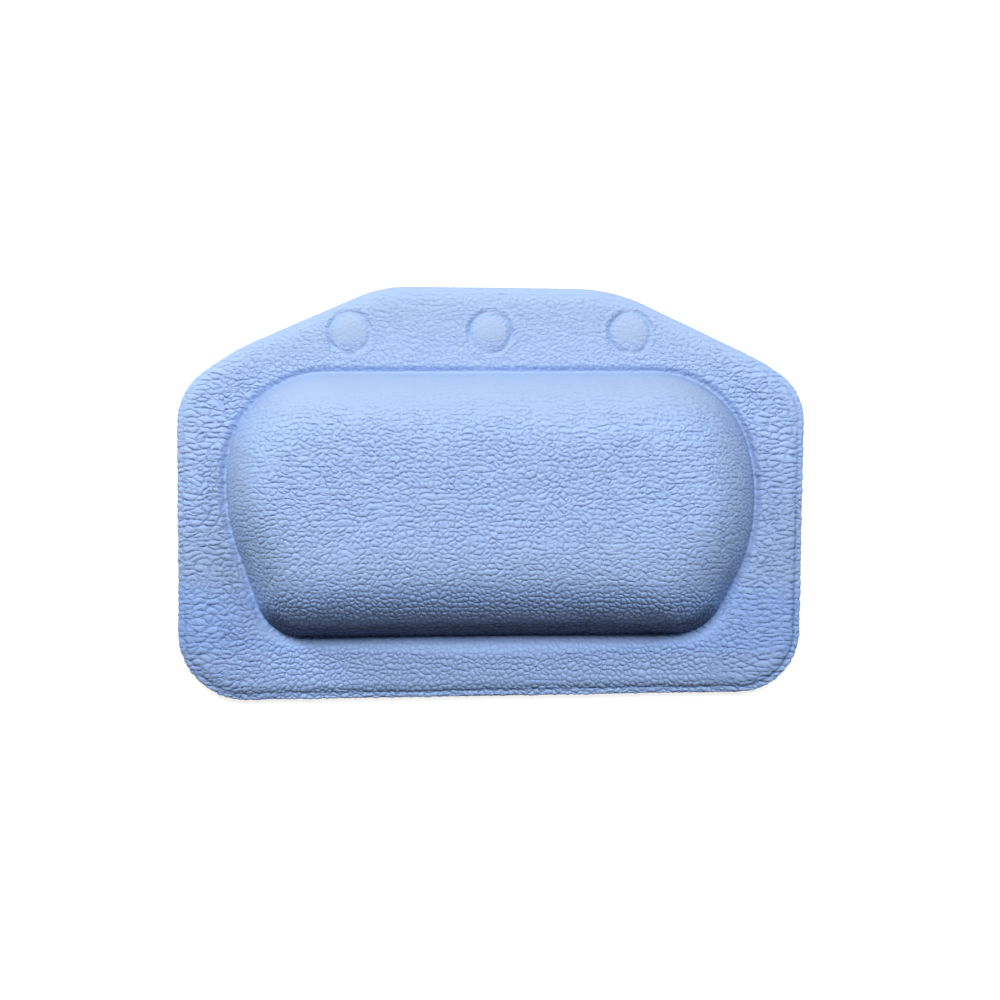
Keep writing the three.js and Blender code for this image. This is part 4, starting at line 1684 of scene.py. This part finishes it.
@dataclass
class BackSheet:
    """The flat welded back sheet with a hole for each cup's neck."""

    plane: PillowPlane
    grain: Grain
    half_cells: int = 110
    edge: float = 0.5
    hole_radius: float = 4.3
    hole_cells: int = 3
    warp_cells: int = 9
    grain_depth: float = 0.3
    grain_strength: float = 0.75
    wrinkled: float = 0.25

    def flat_grid(self) -> tuple[Array, Array]:
        """Points in the plane on a square grid that is drawn out to the outline.

        A grid point at (u, v) lies at max(|u|, |v|) of the way from the centre to the outline. Round each
        neck the cells within hole_cells are dropped, and their border is drawn on to the hole's circle.

        Returns:
            Points of shape (rows, columns, 2), and which cells are holes.
        """
        count = 2 * self.half_cells + 1
        shares = np.linspace(-1, 1, count)
        u, v = np.meshgrid(shares, shares, indexing="xy")
        share = np.maximum(np.abs(u), np.abs(v))
        angles = np.arctan2(v * PILLOW_HEIGHT, u * PILLOW_WIDTH)
        rim = OUTLINE.on_rays(angles.ravel(), self.edge).reshape(count, count, 2)
        points = CENTRE + (rim - CENTRE) * share[..., None]
        dropped = np.zeros((count - 1, count - 1), bool)
        row, column = np.mgrid[0:count, 0:count]
        for x in CUP_SIDES.values():
            axis = np.array((x, CUP_LINE_Y))
            distance = np.linalg.norm(points - axis, axis=2)
            r0, c0 = np.unravel_index(int(np.argmin(distance)), distance.shape)
            ring = np.maximum(np.abs(row - r0), np.abs(column - c0))
            out = unit(points - axis)
            blend = np.clip((ring - self.hole_cells) / (self.warp_cells - self.hole_cells), 0, 1)[..., None]
            circle = axis + out * self.hole_radius
            warped = circle + (points - circle) * blend
            points = np.where((ring < self.warp_cells)[..., None], warped, points)
            inside = ring < self.hole_cells
            dropped |= inside[:-1, :-1] | inside[1:, 1:] | inside[:-1, 1:] | inside[1:, :-1]
        return points, dropped

    def build(self) -> bpy.types.Object:
        """A plain front face and a grained back face, joined round the edge and in the holes.

        The four layers of points are the two faces and the two rims of the rounded edge.

        Returns:
            The sheet, in the row frame.
        """
        points, dropped = self.flat_grid()
        count = points.shape[0]
        flat = points.reshape(-1, 2)
        total = len(flat)
        index = np.arange(total).reshape(count, count)
        quads = np.stack((index[:-1, :-1], index[:-1, 1:], index[1:, 1:], index[1:, :-1]), axis=2)[~dropped]
        edges = np.concatenate([quads[:, (k, (k + 1) % 4)] for k in range(4)])
        key = np.sort(edges, axis=1)
        _, first, times = np.unique(key[:, 0] * total + key[:, 1], return_index=True, return_counts=True)
        a, b = edges[first[times == 1]].T
        on_edge = np.zeros(total, bool)
        on_edge[a] = True
        hole = np.zeros(total, bool)
        for x in CUP_SIDES.values():
            hole |= np.hypot(flat[:, 0] - x, flat[:, 1] - CUP_LINE_Y) < self.hole_radius + 0.2
        out = unit(flat - CENTRE)
        grown = flat + out * np.where(on_edge & ~hole, self.edge, 0.0)[:, None]
        front, back = (flat, BACK_THICKNESS), (flat, 0.0)
        upper, lower = (grown, BACK_THICKNESS - self.edge), (grown, self.edge)
        layers = [np.column_stack((where, np.full(total, z))) for where, z in (front, back, upper, lower)]
        sides = [
            np.stack((b + high * total, a + high * total, a + low * total, b + low * total), axis=1)
            for high, low in ((0, 2), (2, 3), (3, 1))
        ]
        faces = np.concatenate([quads, quads[:, ::-1] + total, *sides])
        used, renumbered = np.unique(faces, return_inverse=True)
        on_back = used // total == 1
        fade = on_back * np.tile(~on_edge, 4)[used] * self.grain_strength
        made = make_object(
            "back_sheet_soft",
            self.plane.to_row(np.vstack(layers)[used]),
            [renumbered.reshape(faces.shape)],
            {"fade": fade, "wrinkled": np.full(len(used), self.wrinkled)},
        )
        relief = self.grain.measure(made)
        placed, normals = points_of(made.data), points_of(made.data, "normal")
        move_points(made.data, placed - normals * (self.grain_depth * MM * relief)[:, None])
        return made


@dataclass
class FoamCore:
    """The sponge block that fills the hollow of the skin."""

    plane: PillowPlane
    skin: FrontSkin
    gap: float = 0.35
    half_columns: int = 150
    wall_shares: tuple[float, ...] = (0.9, 0.8, 0.7, 0.6, 0.51, 0.42, 0.34, 0.26, 0.2, 0.14, 0.1, 0.06)
    foot_lift: float = 1.0
    base_shares: tuple[float, ...] = (0.8, 0.5, 0.2)
    pore_depth: float = 0.18
    pore_width: float = 1.7

    def build(self) -> bpy.types.Object:
        """Rings under the skin's own rings, closed along the ridge and across the flat foot.

        Returns:
            The sponge, in the row frame.
        """
        coarse = FrontSkin(self.plane, self.skin.grain, half_columns=self.half_columns)
        crease, number = coarse.columns()
        depth = SKIN_WALL + self.gap
        rings = [coarse.cushion_ring(crease, share, depth) for share in self.wall_shares]
        foot = CREASE.on_rays(turns(crease), SKIN_WALL + 2 * CLEARANCE)
        flat = np.ones(len(foot))
        rings += [np.column_stack((foot, flat * (SEAM_Z + lift))) for lift in (self.foot_lift, 0.0)]
        rings += [np.column_stack((CENTRE + (foot - CENTRE) * s, flat * SEAM_Z)) for s in self.base_shares]
        grid = np.array(rings)
        noise = Lattice(SPONGE_SEED).value(grid[..., 0] / self.pore_width, grid[..., 1] / self.pore_width)
        wall = np.arange(len(rings))[:, None] < len(self.wall_shares)
        grid[..., 2] += np.where(wall, self.pore_depth * noise - self.pore_depth, 0.0)
        rows, columns = grid.shape[:2]
        ridge = coarse.ridge(crease, RIDGE_Z - depth)
        points = np.vstack((grid.reshape(-1, 3), ridge, [(*CENTRE, SEAM_Z)]))
        top = ridge_faces(number, 0, rows * columns)
        base = cap_faces(columns, (rows - 1) * columns, len(points) - 1)
        faces = [grid_faces(rows, columns), top, base]
        return make_object("foam_core_sponge", self.plane.to_row(points), faces)


@dataclass
class SuctionCup:
    """One clear soft cup: mushroom head, neck, boss, bowl, flat rim and peel tab."""

    plane: PillowPlane
    side: str
    radius: float = 15.0
    drop: float = 11.0
    rim_width: float = 1.7
    boss_radius: float = 6.5
    boss_height: float = 2.0
    crown_thickness: float = 4.6
    inside_power: float = 2.1
    outside_power: float = 1.55
    neck_radius: float = 4.0
    head_radius: float = 6.4
    head_base: float = SEAM_Z + 1.2 + CLEARANCE
    head_thickness: float = 1.5
    tab_half_width: float = 4.0
    tab_length: float = 6.0
    tab_root: float = 2.0
    tab_lift: float = 0.45
    tab_thickening: float = 0.8
    tab_middle: float = 0.4
    segments: int = 144
    crowding: float = 1.35

    def section(self) -> Array:
        """Half the cup's section, up the bowl's inside, round the rim and up the outside.

        The bowl's inside falls by a power of the way out, and its outside rises by one of the way in.

        Returns:
            Rows of a radius, a height and the share of the tab's reach by which the point is drawn out.
        """
        inner = self.radius - self.rim_width
        depth = self.drop - self.crown_thickness
        t = np.linspace(0, 1, 26)[1:]
        fall = depth * t**self.inside_power
        inside = np.column_stack((inner * t, -self.crown_thickness - fall, np.zeros(len(t))))
        rim = np.array([
            (inner + 0.15, -self.drop, 0.0),
            (inner + 0.7, -self.drop, 0.0),
            (self.radius - 0.35, -self.drop, 1.0),
            (self.radius - 0.12, -self.drop + 0.08, 1.0),
            (self.radius, -self.drop + 0.3, 1.0),
            (self.radius, -self.drop + 0.55, 1.0),
            (self.radius - 0.12, -self.drop + 0.75, 1.0),
            (self.radius - 0.4, -self.drop + 0.85, 1.0),
        ])
        boss_top = -CLEARANCE
        boss_base = boss_top - self.boss_height
        t = np.linspace(0, 1, 24)[1:]
        start = self.radius - 0.8
        foot = -self.drop + 0.95
        rise = (boss_base - foot) * t**self.outside_power
        outside = np.column_stack((start + (self.boss_radius - start) * t, foot + rise, np.zeros(len(t))))
        boss = [
            (self.boss_radius, boss_base + 0.3),
            (self.boss_radius, boss_top - 0.35),
            (self.boss_radius - 0.1, boss_top - 0.1),
            (self.boss_radius - 0.35, boss_top),
            (self.neck_radius + 0.3, boss_top),
            (self.neck_radius, boss_top + 0.25),
            (self.neck_radius, self.head_base - 0.2),
            (self.neck_radius + 0.15, self.head_base),
            (self.head_radius - 0.3, self.head_base),
            (self.head_radius, self.head_base + 0.2),
        ]
        angle = np.linspace(0, math.pi / 2, 10)[1:-1]
        dome = self.head_base + 0.2 + (self.head_thickness - 0.25) * np.sin(angle)
        head = np.column_stack((self.head_radius * np.cos(angle), dome))
        upper = np.vstack((np.array(boss), head))
        return np.vstack((inside, rim, outside, np.column_stack((upper, np.zeros(len(upper))))))

    def tab_reach(self, angles: Array) -> Array:
        """How far the tab's outline, with straight sides and a round end, lies past the rim.

        Args:
            angles: rays from the cup's axis, in radians from the tab's own direction.

        Returns:
            A distance for each ray, 0 where there is no tab.
        """
        r = self.tab_half_width
        centre = self.radius + self.tab_length - r
        sine, cosine = np.sin(angles), np.cos(angles)
        sides = r / np.maximum(np.abs(sine), 1e-6)
        end = centre * cosine + np.sqrt(np.maximum(r * r - (centre * sine) ** 2, 0))
        corner = math.atan2(r, centre)
        reach = np.where(np.abs(angles) < corner, end, sides)
        on_tab = (np.abs(angles) < math.asin(r / self.radius)) & (cosine > 0)
        return np.where(on_tab, np.maximum(reach - self.radius, 0), 0)

    def build(self) -> bpy.types.Object:
        """The section turned about the cup's axis, with its rim drawn out into the tab.

        The columns are crowded at the tab. Past tab_root the tab is lifted, and its thickness grows by a
        share of the height over its middle.

        Returns:
            The cup, in the row frame.
        """
        radii, heights, shares = self.section().T[..., None]
        half = np.linspace(0, 1, self.segments // 2 + 1) ** self.crowding * math.pi
        angles = np.concatenate((half, -half[1:-1][::-1]))
        reach = self.tab_reach(angles)
        radius = radii + shares * reach
        grown = (heights + self.drop - self.tab_middle) * self.tab_thickening
        z = heights + shares * np.clip(reach / self.tab_root, 0, 1) * (self.tab_lift + grown)
        middle = CUP_SIDES[self.side]
        grid = np.stack((middle + radius * np.cos(angles), CUP_LINE_Y + radius * np.sin(angles), z), axis=2)
        rows, columns = grid.shape[:2]
        head_top = self.head_base + self.head_thickness - 0.05
        ends = [(middle, CUP_LINE_Y, -self.crown_thickness), (middle, CUP_LINE_Y, head_top)]
        points = np.vstack((grid.reshape(-1, 3), ends))
        total = rows * columns
        bowl = cap_faces(columns, 0, total)
        head = cap_faces(columns, total - columns, total + 1)[:, ::-1]
        faces = [grid_faces(rows, columns)[:, ::-1], bowl, head]
        return make_object(f"suction_cup_{self.side}_clear", self.plane.to_row(points), faces)


@dataclass(frozen=True)
class Lamp:
    """A square area lamp that faces the pillow, with angles in degrees and lengths in metres."""

    name: str
    watts: float
    elevation: float
    turn: float
    distance: float
    size: float
    colour: tuple[float, float, float]

    def build(self) -> None:
        """Hang the lamp at its elevation over the floor, turned to the left of the pillow's upper edge."""
        data = bpy.data.lights.new(self.name, "AREA")
        data.energy, data.shape, data.size, data.color = self.watts, "SQUARE", self.size, self.colour
        lamp = bpy.data.objects.new(self.name, data)
        bpy.context.scene.collection.objects.link(lamp)
        up, left = math.radians(self.elevation), math.radians(self.turn)
        flat = self.distance * math.cos(up)
        place = Vector((-flat * math.sin(left), flat * math.cos(left), self.distance * math.sin(up)))
        turned = (-place).to_track_quat("-Z", "Y").to_matrix().to_4x4()
        lamp.matrix_world = Matrix.Translation(place) @ turned


@dataclass(frozen=True)
class Studio:
    """The camera over the pillow, an arch of three soft lamps round its upper edge and the white floor."""

    plane: PillowPlane
    lens: float = 85.0
    sensor: float = 36.0
    view_width: float = 525.4
    centre: Pair = (5.26, -2.76)
    lamps: tuple[Lamp, ...] = (
        Lamp("key_lamp", 45.0, 63.5, 8.0, 2.6, 0.73, (1.0, 1.0, 1.0)),
        Lamp("left_lamp", 7.4, 27.0, 50.0, 1.2, 0.4, (0.74, 0.9, 1.0)),
        Lamp("right_lamp", 5.7, 48.0, -58.0, 1.2, 0.4, (0.65, 0.82, 1.0)),
    )
    fill: float = 0.012
    floor_reach: float = 6.0
    floor_drop: float = 0.0002
    floor_glow: float = 0.86
    floor_greys: Pair = (0.12, 0.3)

    def camera(self) -> None:
        """A camera square on to the pillow's plane, far enough away to see view_width across the flange."""
        distance = self.view_width * MM * self.lens / self.sensor
        data = bpy.data.cameras.new("camera")
        data.lens, data.sensor_width = self.lens, self.sensor
        camera = bpy.data.objects.new("camera", data)
        bpy.context.scene.collection.objects.link(camera)
        place = Matrix.Translation((self.centre[0] * MM, self.centre[1] * MM, FLANGE_Z * MM + distance))
        camera.matrix_world = self.plane.matrix() @ place
        bpy.context.scene.camera = camera

    def lights(self) -> None:
        """The lamps, and a world that is white to the camera and dim to the pillow."""
        for lamp in self.lamps:
            lamp.build()
        world = bpy.data.worlds.new("world")
        bpy.context.scene.world = world
        world.use_nodes = True
        g = Graph(world.node_tree)
        strength = g.blend(g.ray("Camera").larger(g.ray("Transmission")), self.fill, 1.0)
        background = g.tree.nodes["Background"]
        background.inputs["Color"].default_value = (1, 1, 1, 1)
        g.tree.links.new(strength.socket, background.inputs["Strength"])

    def floor(self) -> None:
        """A wide plain floor that looks white and keeps the pillow's shadow."""
        sides = ((-1, -1), (1, -1), (1, 1), (-1, 1))
        reach = self.floor_reach
        corners = np.array([(x * reach, y * reach, -self.floor_drop) for x, y in sides])
        floor = make_object("floor", corners, [np.array([[0, 1, 2, 3]])])
        g = Graph.of_material("white_floor")
        seen = g.ray("Camera").larger(g.ray("Glossy")).larger(g.ray("Transmission"))
        dim, light = ((grey, grey, grey, 1) for grey in self.floor_greys)
        matt = g.node("ShaderNodeBsdfDiffuse", {}, {"Color": g.mix(seen, dim, light)})
        glow = g.node("ShaderNodeEmission", {}, {"Color": (1, 1, 1, 1), "Strength": seen * self.floor_glow})
        floor.data.materials.append(g.end(g.node("ShaderNodeAddShader", {}, {0: matt, 1: glow})))


def dress(made: bpy.types.Object, finish: Finish, body: str, slot: str, *nodes: str) -> bpy.types.Object:
    """Give a piece its finish and its body, and hide the CAD nodes that it stands for.

    Args:
        made: the piece.
        finish: the finish whose material it gets.
        body: the CAD body that it moves with.
        slot: the record's material slot; not used.
        nodes: the CAD nodes that it replaces.

    Returns:
        The piece.
    """
    made.data.materials.append(finish.material())
    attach(made, body)
    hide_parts(*nodes)
    LOG.info("%s: %d faces, on %s", made.name, len(made.data.polygons), body)
    return made


def main() -> None:
    """Build the pillow's pieces in order, then the room round it."""
    logging.basicConfig(level=logging.INFO, format="%(name)s: %(message)s")
    joints = {joint["name"]: joint for joint in frame["joints"]}
    plane = PillowPlane.from_joint(joints["centre_cup_swivel"])
    studio = Studio(plane)
    studio.camera()

    grain, back_grain = Grain(), Grain(shift=310.0)
    blue = GrainedVinyl("light_blue_vinyl", (172, 194, 233), grain)
    back_blue = GrainedVinyl("light_blue_vinyl_back", (165, 187, 226), back_grain)
    skin, sheet = FrontSkin(plane, grain), BackSheet(plane, back_grain)
    dress(skin.build(), blue, "pillow", "front_skin", "front_skin")
    dress(sheet.build(), back_blue, "pillow", "back_sheet", "back_sheet")
    dress(FoamCore(plane, skin).build(), Sponge(), "pillow", "foam", "foam_core")
    washer = StiffPlastic().material()
    clear = ClearSoftPvc()
    for side in CUP_SIDES:
        dress(SuctionCup(plane, side).build(), clear, f"{side}_cup", "cup", f"suction_cup_{side}")
        disc = frame["nodes"][f"retaining_disc_{side}"]
        disc.data.materials.clear()
        disc.data.materials.append(washer)
        LOG.info("%s: CAD node with a new finish", disc.name)

    studio.lights()
    studio.floor()
    bpy.context.scene.view_settings.view_transform = "Standard"
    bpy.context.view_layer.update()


if __name__ == "__main__":
    main()
